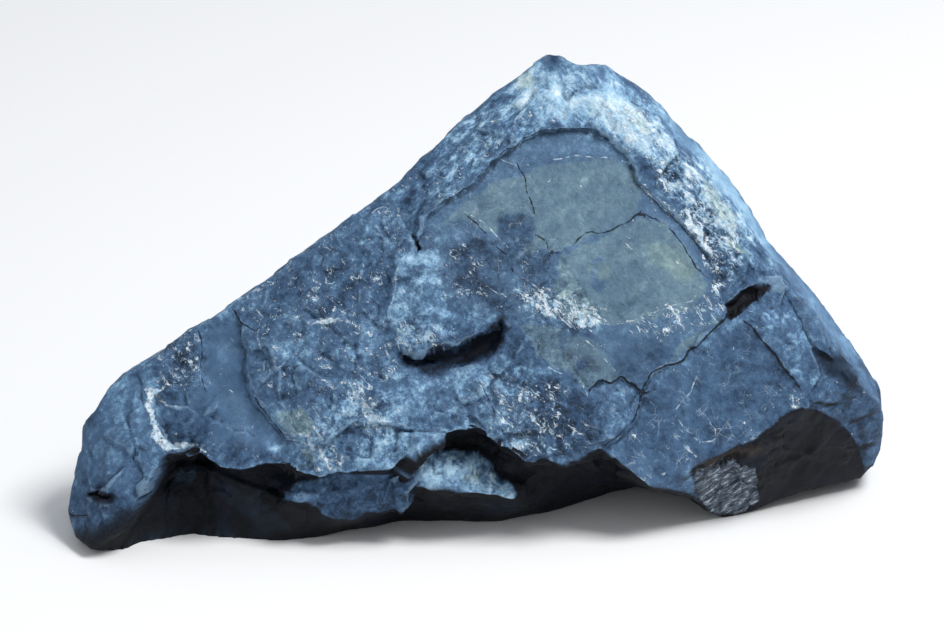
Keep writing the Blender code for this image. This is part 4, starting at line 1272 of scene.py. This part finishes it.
class NodeGraph:
    """Short ways of adding shader nodes to one material."""

    def __init__(self, material: bpy.types.Material) -> None:
        """Empties the material's tree and adds its shader and output.

        Args:
            material: the material to fill.
        """
        material.use_nodes = True
        self.tree = material.node_tree
        self.tree.nodes.clear()
        self.shader = self.tree.nodes.new("ShaderNodeBsdfPrincipled")
        self.output = self.tree.nodes.new("ShaderNodeOutputMaterial")
        self.tree.links.new(self.shader.outputs["BSDF"], self.output.inputs["Surface"])
        self.place = self.tree.nodes.new("ShaderNodeTexCoord").outputs["Object"]

    def put(self, socket: Socket, value: object) -> None:
        """Links a socket to another, or sets it to a number or colour.

        Args:
            socket: the input to fill.
            value: an output socket, a number, a vector or a colour.
        """
        if isinstance(value, Socket):
            self.tree.links.new(value, socket)
        elif isinstance(value, tuple) and len(value) == 3 and socket.type == "RGBA":
            socket.default_value = (*value, 1.0)
        else:
            socket.default_value = value

    def field(self, ground: Ground) -> Socket:
        """One of the rock's own attributes.

        Args:
            ground: which attribute.

        Returns:
            Its value.
        """
        node = self.tree.nodes.new("ShaderNodeAttribute")
        node.attribute_name = ground.value
        return node.outputs["Fac"]

    def grained(self, lean: float, angle: float, stretch: float) -> Socket:
        """Object coordinates for a pattern stretched along a line in the leaning face.

        Args:
            lean: how far the face leans back, in radians.
            angle: the line's angle above the face's own horizontal, in degrees.
            stretch: how many times longer than wide the pattern's features become.

        Returns:
            The coordinates: turned into the face, turned by the angle, then shrunk along the line.
        """
        into_face = Matrix.Rotation(math.pi / 2 - lean, 3, "X") @ Matrix.Rotation(math.radians(angle), 3, "Z")
        node = self.tree.nodes.new("ShaderNodeMapping")
        node.vector_type = "TEXTURE"
        self.put(node.inputs["Vector"], self.place)
        node.inputs["Rotation"].default_value = into_face.to_euler("XYZ")
        node.inputs["Scale"].default_value = (stretch, 1.0, 1.0)
        return node.outputs["Vector"]

    def noise(self, size_mm: float, detail: float = 4.0, roughness: float = 0.55, distortion: float = 0.0,
              vector: Socket | None = None) -> Socket:
        """Cloudy noise.

        Args:
            size_mm: about how far across its largest lumps are.
            detail: how many finer layers it has.
            roughness: how strong each finer layer is beside the one before.
            distortion: how far the lumps are bent.
            vector: the coordinates to read it at, or None for the object's own.

        Returns:
            The noise, from 0 to 1.
        """
        node = self.tree.nodes.new("ShaderNodeTexNoise")
        self.put(node.inputs["Vector"], vector or self.place)
        node.inputs["Scale"].default_value = MM_PER_METRE / size_mm
        node.inputs["Detail"].default_value = detail
        node.inputs["Roughness"].default_value = roughness
        node.inputs["Distortion"].default_value = distortion
        return node.outputs["Fac"]

    def threads(self, size_mm: float, width: float, vector: Socket | None = None,
                ) -> Socket:
        """Long thin wavering lines: 1 where cloudy noise is within width of its middle value, fading to 0."""
        away = self.sum("ABSOLUTE", self.sum("SUBTRACT", self.noise(size_mm, 2.0, 0.5, 0.0, vector), 0.5))
        return self.rise(away, width, 0.3 * width)

    def lattice(self, size_mm: float, width: float) -> Socket:
        """A net of straight lines between random cells.

        Args:
            size_mm: about how far across the cells are.
            width: how far from a line the net ends, in cells.

        Returns:
            1 on a line, falling to 0 at width from it.
        """
        node = self.tree.nodes.new("ShaderNodeTexVoronoi")
        node.feature = "DISTANCE_TO_EDGE"
        self.put(node.inputs["Vector"], self.place)
        node.inputs["Scale"].default_value = MM_PER_METRE / size_mm
        return self.rise(node.outputs["Distance"], width, 0.3 * width)

    def shards(self, size_mm: float) -> Socket:
        """Ragged cells, each with a level of its own.

        Args:
            size_mm: about how far across the cells are.

        Returns:
            The level, from 0 to 1.
        """
        push = self.tree.nodes.new("ShaderNodeTexNoise")
        self.put(push.inputs["Vector"], self.place)
        push.inputs["Scale"].default_value = MM_PER_METRE / (0.7 * size_mm)
        push.inputs["Detail"].default_value = 4.0
        push.inputs["Roughness"].default_value = 0.7
        moved = self.tree.nodes.new("ShaderNodeVectorMath")
        moved.operation = "MULTIPLY_ADD"
        reach = 1.1 * size_mm / MM_PER_METRE
        for socket, value in zip(moved.inputs, (push.outputs["Color"], (reach, reach, reach), self.place)):
            self.put(socket, value)
        node = self.tree.nodes.new("ShaderNodeTexVoronoi")
        self.put(node.inputs["Vector"], moved.outputs["Vector"])
        node.inputs["Scale"].default_value = MM_PER_METRE / size_mm
        return node.outputs["Color"]

    def sum(self, kind: str, a: object, b: object = 0.0, c: object = 0.0) -> Socket:
        """One arithmetic step.

        Args:
            kind: the name of a Math node's operation.
            a: the first number or socket.
            b: the second.
            c: the third.

        Returns:
            The result.
        """
        node = self.tree.nodes.new("ShaderNodeMath")
        node.operation = kind
        for socket, value in zip(node.inputs, (a, b, c)):
            self.put(socket, value)
        return node.outputs["Value"]

    def product(self, *factors: object) -> Socket:
        """All the factors multiplied together.

        Args:
            factors: sockets or numbers, a socket first.

        Returns:
            Their product.
        """
        result = factors[0]
        for factor in factors[1:]:
            result = self.sum("MULTIPLY", result, factor)
        return result

    def most(self, *values: object) -> Socket:
        """The greatest of the values.

        Args:
            values: sockets or numbers, a socket first.

        Returns:
            The greatest.
        """
        result = values[0]
        for value in values[1:]:
            result = self.sum("MAXIMUM", result, value)
        return result

    def total(self, *terms: tuple[object, float]) -> Socket:
        """Every term's value times its weight, added up.

        Args:
            terms: pairs of a socket or number and its weight.

        Returns:
            The total.
        """
        result: object = 0.0
        for value, weight in terms:
            result = self.sum("MULTIPLY_ADD", value, weight, result)
        return result

    def rise(self, value: Socket, low: float, high: float, top: float = 1.0,
             ) -> Socket:
        """A smooth rise, or a fall where low is above high.

        Args:
            value: the socket to read.
            low: the value where the result is 0.
            high: the value where the result is top.
            top: the greatest result.

        Returns:
            The result, from 0 to top.
        """
        node = self.tree.nodes.new("ShaderNodeMapRange")
        node.interpolation_type = "SMOOTHSTEP"
        self.put(node.inputs["Value"], value)
        node.inputs["From Min"].default_value = min(low, high)
        node.inputs["From Max"].default_value = max(low, high)
        node.inputs["To Min"].default_value = 0.0 if low < high else top
        node.inputs["To Max"].default_value = top if low < high else 0.0
        return node.outputs["Result"]

    def ramp(self, value: Socket, stops: Stops) -> Socket:
        """A colour that runs through the stops as the value grows.

        Args:
            value: the socket to read.
            stops: pairs of a value and the colour there, in order.

        Returns:
            The colour.
        """
        node = self.tree.nodes.new("ShaderNodeValToRGB")
        self.put(node.inputs["Fac"], value)
        marks = node.color_ramp.elements
        for index, (position, colour) in enumerate(stops):
            mark = marks[index] if index < len(marks) else marks.new(position)
            mark.position = position
            mark.color = (*colour, 1.0)
        return node.outputs["Color"]

    def mix(self, share: object, below: object, above: object) -> Socket:
        """One colour laid over another.

        Args:
            share: how much of the upper one shows, from 0 to 1.
            below: the lower colour.
            above: the upper colour.

        Returns:
            The mixed colour.
        """
        node = self.tree.nodes.new("ShaderNodeMix")
        node.data_type = "RGBA"
        self.put(node.inputs["Factor"], share)
        self.put(node.inputs[6], below)
        self.put(node.inputs[7], above)
        return node.outputs[2]

    def bump(self, height: Socket, distance_mm: float) -> Socket:
        """Fine relief.

        Args:
            height: how high it is, as a share of the distance.
            distance_mm: how high it is at a height of 1.

        Returns:
            The bent normal.
        """
        node = self.tree.nodes.new("ShaderNodeBump")
        self.put(node.inputs["Height"], height)
        node.inputs["Distance"].default_value = distance_mm / MM_PER_METRE
        node.inputs["Strength"].default_value = 1.0
        return node.outputs["Normal"]


def given_back(red: int, green: int, blue: int) -> Colour:
    """How much light the stone gives back where it is seen as a colour on its lit face.

    Args:
        red: the seen colour's red, from 0 to 255.
        green: its green.
        blue: its blue.

    Returns:
        The shares of red, green and blue light given back.
    """
    seen = np.array([red, green, blue]) / 255.0
    linear = np.where(seen <= 0.04045, seen / 12.92, ((seen + 0.055) / 1.055) ** 2.4)
    return tuple(float(value) for value in np.minimum(linear / LIGHT_ON_FACE, 0.95))


@dataclass(frozen=True)
class LimestoneFinish:
    """Dark blue-grey limestone: olive stains, calcite veins, worn edges with a painted highlight, near-black
    painted shade.
    """

    lean: float
    blue_tones: Stops = (
        (0.06, given_back(14, 22, 34)),
        (0.30, given_back(46, 68, 93)),
        (0.43, given_back(70, 97, 126)),
        (0.54, given_back(86, 114, 143)),
        (0.63, given_back(112, 145, 174)),
        (0.72, given_back(152, 187, 211)),
        (0.86, given_back(204, 226, 236)),
        (1.00, given_back(240, 247, 248)),
    )
    olive_tones: Stops = (
        (0.10, given_back(34, 46, 56)),
        (0.30, given_back(68, 88, 102)),
        (0.45, given_back(96, 120, 136)),
        (0.56, given_back(112, 136, 147)),
        (0.68, given_back(144, 168, 174)),
        (0.82, given_back(196, 212, 208)),
        (1.00, given_back(234, 240, 230)),
    )
    ochre_tones: Stops = (
        (0.20, given_back(84, 98, 96)),
        (0.50, given_back(124, 144, 140)),
        (0.68, given_back(172, 190, 176)),
        (0.85, given_back(212, 220, 202)),
    )
    painted_shade_tones: Stops = (
        (0.20, given_back(2, 3, 4)),
        (0.50, given_back(7, 11, 19)),
        (0.68, given_back(18, 26, 40)),
        (0.90, given_back(62, 64, 70)),
    )
    calcite: Colour = given_back(250, 252, 253)
    # Pale frost for calcite, also the painted highlight on raised edges.
    frost_and_highlight: Colour = given_back(186, 214, 230)
    silver_tones: Stops = (
        (0.37, given_back(30, 36, 44)),
        (0.48, given_back(76, 84, 95)),
        (0.56, given_back(122, 130, 140)),
        (0.66, given_back(224, 230, 234)),
    )
    # Painted shade for hollows and cracks.
    hollow_shade: Colour = given_back(14, 18, 24)
    rust: Colour = given_back(66, 54, 48)

    def material(self) -> bpy.types.Material:
        """The whole finish in order: ground, stains, veins, painted shade, worn edges with a painted
        highlight, cracks.

        Returns:
            The material.
        """
        material = bpy.data.materials.new("blue_grey_limestone")
        graph = NodeGraph(material)
        grain = self.grain(graph)
        colour = self.ground(graph, grain)
        colour, calcite = self.calcite_marks(graph, colour)
        colour, crack = self.shadows(graph, colour, grain)
        graph.put(graph.shader.inputs["Base Color"], colour)
        self.surface(graph, grain, calcite, crack)
        return material

    def grain(self, graph: NodeGraph) -> Socket:
        """The stone's own mottling: even noise, shards of two sizes, and streaks along the broken edges.

        Args:
            graph: the material's nodes.

        Returns:
            The mottling, about 0.
        """
        even = graph.noise(4.5, 5.0, 0.76, 0.25)
        left_grain = graph.grained(self.lean, 42.0, 3.2)
        right_grain = graph.grained(self.lean, -48.0, 3.2)
        split = graph.tree.nodes.new("ShaderNodeSeparateXYZ")
        graph.put(split.inputs[0], graph.place)
        side = graph.rise(split.outputs["X"], 0.012, 0.030)
        left_streak = graph.noise(2.4, 5.0, 0.8, 0.2, left_grain)
        right_streak = graph.noise(2.4, 5.0, 0.8, 0.2, right_grain)
        across = graph.sum("SUBTRACT", right_streak, left_streak)
        streak = graph.sum("MULTIPLY_ADD", across, side, left_streak)
        speckle = graph.noise(1.4, 3.0, 0.70)
        streak = graph.product(graph.sum("SUBTRACT", streak, 0.5), graph.field(Ground.STREAK), 1.35)
        return graph.total((even, 0.80), (streak, 0.8), (speckle, 0.36), (graph.shards(3.8), 0.18),
                           (graph.shards(1.6), 0.13), (1.0, -0.5 * 1.47))

    def ground(self, graph: NodeGraph, grain: Socket) -> Socket:
        """Blue-grey stone whose tone is its grain, two sizes of cloud and the lighter and darker places.

        Args:
            graph: the material's nodes.
            grain: the stone's own mottling.

        Returns:
            The colour.
        """
        broad = graph.noise(34.0, 3.0, 0.5)
        cloud = graph.noise(11.0, 4.0, 0.6, 0.5)
        # Places that face up are lighter: weathering and painted light.
        sky = graph.rise(graph.field(Ground.SKY), 0.5, 1.0)
        rough = graph.sum("MULTIPLY", grain, graph.field(Ground.GRIT))
        tone = graph.total((rough, 1.0), (broad, 0.28), (cloud, 0.28), (graph.field(Ground.TONE), 1.0),
                           (sky, 0.05), (1.0, 0.5 - 0.285))
        blue = graph.ramp(tone, self.blue_tones)
        olive = graph.ramp(tone, self.olive_tones)
        ochre = graph.ramp(tone, self.ochre_tones)
        edge = graph.total((graph.noise(4.0, 6.0, 0.75), 6.0), (1.0, -3.0))
        stained = graph.rise(graph.sum("ADD", graph.field(Ground.OLIVE), edge), -0.3, 0.4, 0.95)
        colour = graph.mix(stained, blue, olive)
        plate = graph.rise(graph.sum("ADD", graph.field(Ground.PLATE), edge), -0.5, 1.5, 0.14)
        colour = graph.mix(plate, colour, olive)
        tinted = graph.rise(graph.sum("ADD", graph.field(Ground.OCHRE), edge), -1.2, 1.4, 0.55)
        colour = graph.mix(tinted, colour, ochre)
        faint = graph.rise(graph.noise(16.0, 5.0, 0.65), 0.60, 0.72, 0.35)
        return graph.mix(faint, colour, olive)

    def calcite_marks(self, graph: NodeGraph, colour: Socket) -> tuple[Socket, Socket]:
        """White veins, hair veins, flecks and scratches.

        Args:
            graph: the material's nodes.
            colour: the colour so far.

        Returns:
            The colour with the marks on it, and how much calcite each place has.
        """
        fray = graph.total((graph.noise(1.5, 5.0, 0.75), 2.4), (1.0, -1.2))
        band = graph.rise(graph.sum("ADD", graph.field(Ground.VEIN), fray), -0.15, 0.4)
        band = graph.sum("MULTIPLY", band, graph.rise(graph.noise(1.6, 5.0, 0.8), 0.36, 0.50))
        hair = graph.total((graph.sum("ABSOLUTE", graph.field(Ground.HAIR_SIDE)), 1.0),
                           (graph.noise(1.2, 4.0, 0.6), 0.9))
        broken = graph.rise(graph.noise(3.2, 4.0, 0.65), 0.44, 0.56)
        close_by = graph.rise(graph.field(Ground.HAIR_NEAR), 0.0, 0.3, 0.6)
        hair = graph.product(graph.rise(hair, 0.72, 0.50), close_by, broken)
        chips = graph.noise(1.5, 5.0, 0.85, 0.6, graph.grained(self.lean, -40.0, 1.5))
        patchy = graph.noise(5.0, 4.0, 0.7)
        flecks = graph.total((graph.field(Ground.FLECKS), 0.13), (patchy, 0.50), (chips, 1.0))
        flecks = graph.rise(flecks, 0.92, 0.98)
        grains = graph.noise(2.4, 5.0, 0.75, 0.8, graph.grained(self.lean, -50.0, 2.0))
        grains = graph.rise(graph.total((graph.field(Ground.FLECKS), 0.17), (grains, 1.0)), 0.71, 0.77)
        slant = graph.threads(6.0, 0.010, graph.grained(self.lean, -50.0, 6.0))
        wide = graph.lattice(7.0, 0.020)
        close = graph.lattice(3.4, 0.030)
        seldom = graph.rise(graph.noise(5.0, 5.0, 0.75), 0.47, 0.60)
        web = graph.product(graph.most(slant, wide, close), seldom, graph.field(Ground.WEB), 0.26)
        stray = graph.lattice(58.0, 0.0045)
        partly = graph.rise(graph.noise(18.0, 4.0, 0.6), 0.47, 0.56)
        stray = graph.product(stray, partly, graph.rise(graph.field(Ground.FRONT), 0.8, 0.0, 0.65))
        marks = graph.most(band, hair, flecks, grains, web, stray)
        # Marks fade out under the painted shade and where the tone is lowest.
        marks = graph.product(marks, graph.rise(graph.field(Ground.PAINTED_SHADE), 0.7, 0.1),
                              graph.rise(graph.field(Ground.TONE), -0.34, -0.22))
        tint = graph.mix(graph.rise(graph.noise(1.3, 3.0), 0.40, 0.60), self.frost_and_highlight, self.calcite)
        return graph.mix(marks, colour, tint), marks

    def shadows(self, graph: NodeGraph, colour: Socket, grain: Socket,
                ) -> tuple[Socket, Socket]:
        """Painted shade below and on the heel, its silver patch, worn edges with a painted highlight, painted
        shade in hollows, cracks.

        Args:
            graph: the material's nodes.
            colour: the colour so far.
            grain: the stone's own mottling.

        Returns:
            The finished colour, and how deep each place is in a crack.
        """
        # Painted shade, near black, laid over the stone where the painted-shade attribute is high.
        shade = graph.total((grain, 0.22), (graph.noise(12.0, 4.0, 0.6), 0.7), (1.0, 0.17))
        dark = graph.ramp(shade, self.painted_shade_tones)
        painted_shade_share = graph.total((graph.field(Ground.PAINTED_SHADE), 1.0), (grain, 0.16))
        colour = graph.mix(graph.rise(painted_shade_share, 0.10, 0.80), colour, dark)
        foil = graph.noise(1.5, 5.0, 0.75, 0.4, graph.grained(self.lean, 34.0, 2.6))
        shine = graph.ramp(foil, self.silver_tones)
        fray = graph.total((graph.noise(2.4, 5.0, 0.8), 5.0), (1.0, -2.5))
        silver = graph.rise(graph.sum("ADD", graph.field(Ground.SILVER), fray), -0.3, 0.6, 0.92)
        colour = graph.mix(silver, colour, shine)
        rusty = graph.rise(graph.sum("ADD", graph.field(Ground.RUST), fray), -0.6, 0.9, 0.7)
        colour = graph.mix(rusty, colour, self.rust)
        standout = graph.field(Ground.STANDOUT)
        lit = graph.product(graph.rise(graph.field(Ground.PAINTED_SHADE), 0.5, 0.0),
                            graph.rise(graph.field(Ground.TONE), -0.25, -0.05))
        # Raised edges paler: worn edges with a painted highlight, kept off the painted shade.
        colour = graph.mix(graph.sum("MULTIPLY", graph.rise(standout, 0.30, 0.95, 0.24), lit), colour, self.frost_and_highlight)
        # Sunk places darker: painted shade in hollows.
        colour = graph.mix(graph.rise(standout, -0.25, -0.95, 0.5), colour, self.hollow_shade)
        # Cracks, dark with painted shade, drawn bolder and unbroken along the ledge shadows.
        crack = graph.total((graph.sum("ABSOLUTE", graph.field(Ground.CRACK_SIDE)), 1.0),
                            (graph.noise(1.4, 4.0, 0.65), 0.8), (graph.field(Ground.LEDGE_SHADOW), -0.14))
        whole = graph.most(graph.rise(graph.noise(7.0, 3.0, 0.6), 0.36, 0.50), graph.field(Ground.LEDGE_SHADOW))
        close_by = graph.rise(graph.field(Ground.CRACK_NEAR), 0.0, 0.3)
        crack = graph.product(graph.rise(crack, 0.66, 0.44), close_by, whole)
        return graph.mix(graph.sum("MULTIPLY", crack, 0.9), colour, self.hollow_shade), crack

    def surface(self, graph: NodeGraph, grain: Socket, calcite: Socket,
                crack: Socket) -> None:
        """Roughness that varies over the stone, and relief from its grain, its calcite and its cracks.

        Args:
            graph: the material's nodes.
            grain: the stone's own mottling.
            calcite: how much calcite each place has.
            crack: how deep each place is in a crack.
        """
        rough = graph.total((grain, 0.35), (calcite, -0.14), (1.0, 0.60))
        graph.put(graph.shader.inputs["Roughness"], rough)
        graph.shader.inputs["Specular IOR Level"].default_value = 0.22
        pocked = graph.noise(3.0, 5.0, 0.70, 0.4)
        height = graph.total((pocked, 1.05), (graph.noise(0.9, 3.0, 0.6), 0.15))
        height = graph.sum("MULTIPLY", height, graph.field(Ground.GRIT))
        height = graph.total((height, 1.0), (calcite, 0.12), (crack, -0.5))
        graph.put(graph.shader.inputs["Normal"], graph.bump(height, 1.1))


@dataclass
class AquascapingRock:
    """The stone itself: one closed surface, shaped, marked and finished."""

    face: FaceFrame = field(default_factory=FaceFrame)
    cells: tuple[int, int, int] = (340, 210, 132)
    most_triangles: int = 196000
    crease: float = math.radians(38.0)
    standout_rounds: int = 3
    standout_range: float = 2.5
    blend_rounds: int = 2
    ease_rounds: int = 10
    lip_rounds: int = 3
    broad_rounds: int = 8
    painted_shade_rounds: int = 6
    form: StoneForm = field(init=False)
    relief: Relief = field(init=False)
    markings: Markings = field(init=False)
    finish: LimestoneFinish = field(init=False)
    shift: np.ndarray = field(init=False)

    def __post_init__(self) -> None:
        """Makes the parts that share the rock's frame."""
        self.form = StoneForm(self.face)
        self.relief = Relief(self.face, self.form)
        self.markings = Markings(self.face)
        self.finish = LimestoneFinish(self.face.lean)

    def shape(self) -> tuple[bpy.types.Mesh, dict[Ground, np.ndarray]]:
        """The full surface: the body with its undercut eased, then relief along w and chips along the normal.

        Returns:
            The mesh, upright and in millimetres, and one number for each vertex for each marking.
        """
        share, quads = block_grid(self.cells)
        body, found = self.form.body(share)
        mesh = mesh_from("rock_surface", self.face.to_rock(body), quads)
        edges = np.empty(len(mesh.edges) * 2, np.int32)
        mesh.edges.foreach_get("vertices", edges)
        edges = edges.reshape(-1, 2)
        undercut = spread(found[:, None].astype(float), edges, self.blend_rounds)
        body += smooth(undercut) * (spread(body, edges, self.ease_rounds) - body)
        lip = smooth(2.0 * (1.0 - np.abs(2.0 * undercut - 1.0)))
        body += lip * (spread(body, edges, self.lip_rounds) - body)
        place_points(mesh, self.face.to_rock(body))
        normals = self.face.to_face(read_vectors(mesh.vertex_normals, "vector"))
        spots = ragged(body)
        body[:, 2] += self.relief.on_face(spots) * smooth((normals[:, 2] - 0.03) / 0.22)
        place_points(mesh, self.face.to_rock(body))
        normals = self.face.to_face(read_vectors(mesh.vertex_normals, "vector"))
        body += normals * self.relief.chipped(body, normals)[:, None]
        rock = self.face.to_rock(body)
        rock[:, 2] = np.maximum(rock[:, 2] + self.face.ground_drop, 0.0)
        place_points(mesh, rock)
        return mesh, self.marked(mesh, rock, body, edges, spots, undercut[:, 0])

    def marked(self, mesh: bpy.types.Mesh, rock: np.ndarray, body: np.ndarray, edges: np.ndarray,
               spots: np.ndarray, undercut: np.ndarray) -> dict[Ground, np.ndarray]:
        """Every marking, where standout is each vertex's rise over its neighbours' average, along its normal.

        Args:
            mesh: the full surface.
            rock: its points, upright.
            body: its points in the face frame, before the ground cut them.
            edges: the two vertex numbers of each edge.
            spots: the (u, v) that the relief was read at.
            undercut: 1 where the surface belongs to the undercut foot, 0 elsewhere.

        Returns:
            One number for each vertex, for each marking.
        """
        sharp = read_vectors(mesh.vertex_normals, "vector")
        rounded = spread(rock, edges, self.standout_rounds)
        standout = ((rock - rounded) * sharp).sum(-1)
        standout = np.clip(standout / (self.standout_range * standout.std()), -1.0, 1.0)
        broad = self.face.to_face(spread(sharp, edges, self.broad_rounds))
        broad /= np.maximum(np.linalg.norm(broad, axis=1), 1e-6)[:, None]
        marks = self.markings.read(spots, body, broad, undercut, standout)
        # The painted shade is softened over the undercut at the left foot.
        gloom = marks[Ground.PAINTED_SHADE]
        softer = spread(gloom[:, None], edges, self.painted_shade_rounds)[:, 0]
        at_left = smooth(-5.0 - body[:, 0] / 10.0)
        marks[Ground.PAINTED_SHADE] = gloom + smooth(4.0 * undercut) * at_left * (softer - gloom)
        return marks

    def thinned(self, mesh: bpy.types.Mesh) -> bpy.types.Mesh:
        """Joins the flat stretches of a mesh into larger triangles, markings and all.

        Args:
            mesh: the full surface.

        Returns:
            The thinned copy.
        """
        thick = bpy.data.objects.new("thick", mesh)
        bpy.context.scene.collection.objects.link(thick)
        thin = thick.modifiers.new("thin", "DECIMATE")
        thin.ratio = self.most_triangles / (2 * len(mesh.polygons))
        thin.use_collapse_triangulate = True
        result = bpy.data.meshes.new_from_object(thick.evaluated_get(bpy.context.evaluated_depsgraph_get()))
        bpy.data.objects.remove(thick)
        return result

    def build(self) -> bpy.types.Object:
        """The finished piece, centred over the CAD solid's own middle and standing on its level.

        Returns:
            The piece.
        """
        mesh, marks = self.shape()
        for ground, values in marks.items():
            layer = mesh.attributes.new(ground.value, "FLOAT", "POINT")
            layer.data.foreach_set("value", values.astype(np.float32))
        mesh = self.thinned(mesh)
        mesh.name = "rock_surface"
        low, high = (np.array(corner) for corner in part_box("rock"))
        rock = read_vectors(mesh.vertices, "co") / MM_PER_METRE
        own_low, own_high = rock.min(axis=0), rock.max(axis=0)
        self.shift = ((low + high) / 2 - (own_low + own_high) / 2)[:2]
        rock[:, :2] += self.shift
        rock[:, 2] = np.maximum(rock[:, 2] - own_low[2] + low[2], low[2])
        place_points(mesh, rock)
        mesh.shade_smooth()
        mesh.set_sharp_from_angle(angle=self.crease)
        mesh.materials.append(self.finish.material())
        piece = bpy.data.objects.new("rock_surface", mesh)
        bpy.context.scene.collection.objects.link(piece)
        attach(piece, "root")
        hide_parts("rock")
        return piece


@dataclass(frozen=True)
class Lamp:
    """A square soft light: its name, its place and size in metres, and its power in watts."""

    name: str
    place: Place
    size: float
    watts: float


@dataclass
class Studio:
    """A plain pale floor, soft light from above and a camera square on to the rock's leaning face."""

    face: FaceFrame
    shift: np.ndarray
    distance: float = 2500.0
    aim: Place = (472.0, 316.0, -20.0)
    photo_width: float = 944.0
    film_width: float = 36.0
    floor_size: float = 12.0
    floor_thickness: float = 0.01
    floor_colour: Colour = (0.92, 0.925, 0.93)
    lamps: tuple[Lamp, ...] = (
        Lamp("key", (0.62, -0.22, 1.20), 0.5, 15.5),
        Lamp("fill", (-0.9, -0.9, 0.8), 0.8, 1.5),
    )
    lamp_aim: Place = (0.0, 0.0, 0.05)
    sky_colour: Colour = (0.93, 0.96, 1.0)
    sky_strength: float = 0.46

    def world_point(self, uvw: np.ndarray) -> Vector:
        """Where a point of the rock's own frame comes to stand.

        Args:
            uvw: the point in the face frame.

        Returns:
            The point in the scene, in metres.
        """
        place = self.face.to_rock(uvw) / MM_PER_METRE
        place[2] += self.face.ground_drop / MM_PER_METRE
        place[:2] += self.shift
        return Vector(place)

    def camera(self) -> None:
        """Far enough back that the outline is seen almost without perspective."""
        data = bpy.data.cameras.new("camera")
        data.sensor_width = self.film_width
        data.lens = self.film_width * self.distance / (self.photo_width * self.face.scale)
        data.clip_end = 50.0
        camera = bpy.data.objects.new("camera", data)
        bpy.context.scene.collection.objects.link(camera)
        bpy.context.scene.camera = camera
        target = self.face.places((self.aim,))[0]
        away = target + np.array([0.0, 0.0, self.distance])
        camera.location = self.world_point(away)
        heading = self.world_point(target) - camera.location
        camera.rotation_euler = heading.to_track_quat("-Z", "Y").to_euler()

    def floor(self) -> None:
        """One large pale sheet at the height that the rock stands on."""
        points, quads = block_grid((1, 1, 1))
        half = self.floor_size / 2
        low = np.array([-half, -half, -self.floor_thickness])
        size = np.array([self.floor_size, self.floor_size, self.floor_thickness])
        mesh = mesh_from("floor", low + points * size, quads)
        material = bpy.data.materials.new("pale_floor")
        graph = NodeGraph(material)
        graph.shader.inputs["Base Color"].default_value = (*self.floor_colour, 1.0)
        graph.shader.inputs["Roughness"].default_value = 0.85
        graph.shader.inputs["Specular IOR Level"].default_value = 0.2
        mesh.materials.append(material)
        floor = bpy.data.objects.new("floor", mesh)
        bpy.context.scene.collection.objects.link(floor)

    def hang(self, lamp: Lamp) -> None:
        """Hangs a lamp and aims it at the rock.

        Args:
            lamp: the lamp.
        """
        data = bpy.data.lights.new(lamp.name, "AREA")
        data.size = lamp.size
        data.energy = lamp.watts
        light = bpy.data.objects.new(lamp.name, data)
        bpy.context.scene.collection.objects.link(light)
        light.location = lamp.place
        heading = Vector(self.lamp_aim) - light.location
        light.rotation_euler = heading.to_track_quat("-Z", "Y").to_euler()

    def light(self) -> None:
        """A key light high on the right, a weak fill from the left and an even pale sky."""
        for lamp in self.lamps:
            self.hang(lamp)
        world = bpy.data.worlds.new("pale_sky")
        world.use_nodes = True
        sky = world.node_tree.nodes["Background"]
        sky.inputs["Color"].default_value = (*self.sky_colour, 1.0)
        sky.inputs["Strength"].default_value = self.sky_strength
        bpy.context.scene.world = world
        bpy.context.scene.view_settings.view_transform = "Standard"

    def build(self) -> None:
        """Camera, floor and lights."""
        self.camera()
        self.floor()
        self.light()


def main() -> None:
    """Builds the rock, then the studio round it."""
    logging.basicConfig(level=logging.INFO, format="%(message)s")
    rock = AquascapingRock()
    piece = rock.build()
    log.info("%s: %d triangles", piece.name, len(piece.data.polygons))
    Studio(rock.face, rock.shift).build()
    log.info("studio: camera, floor and lights")


if __name__ == "__main__":
    main()
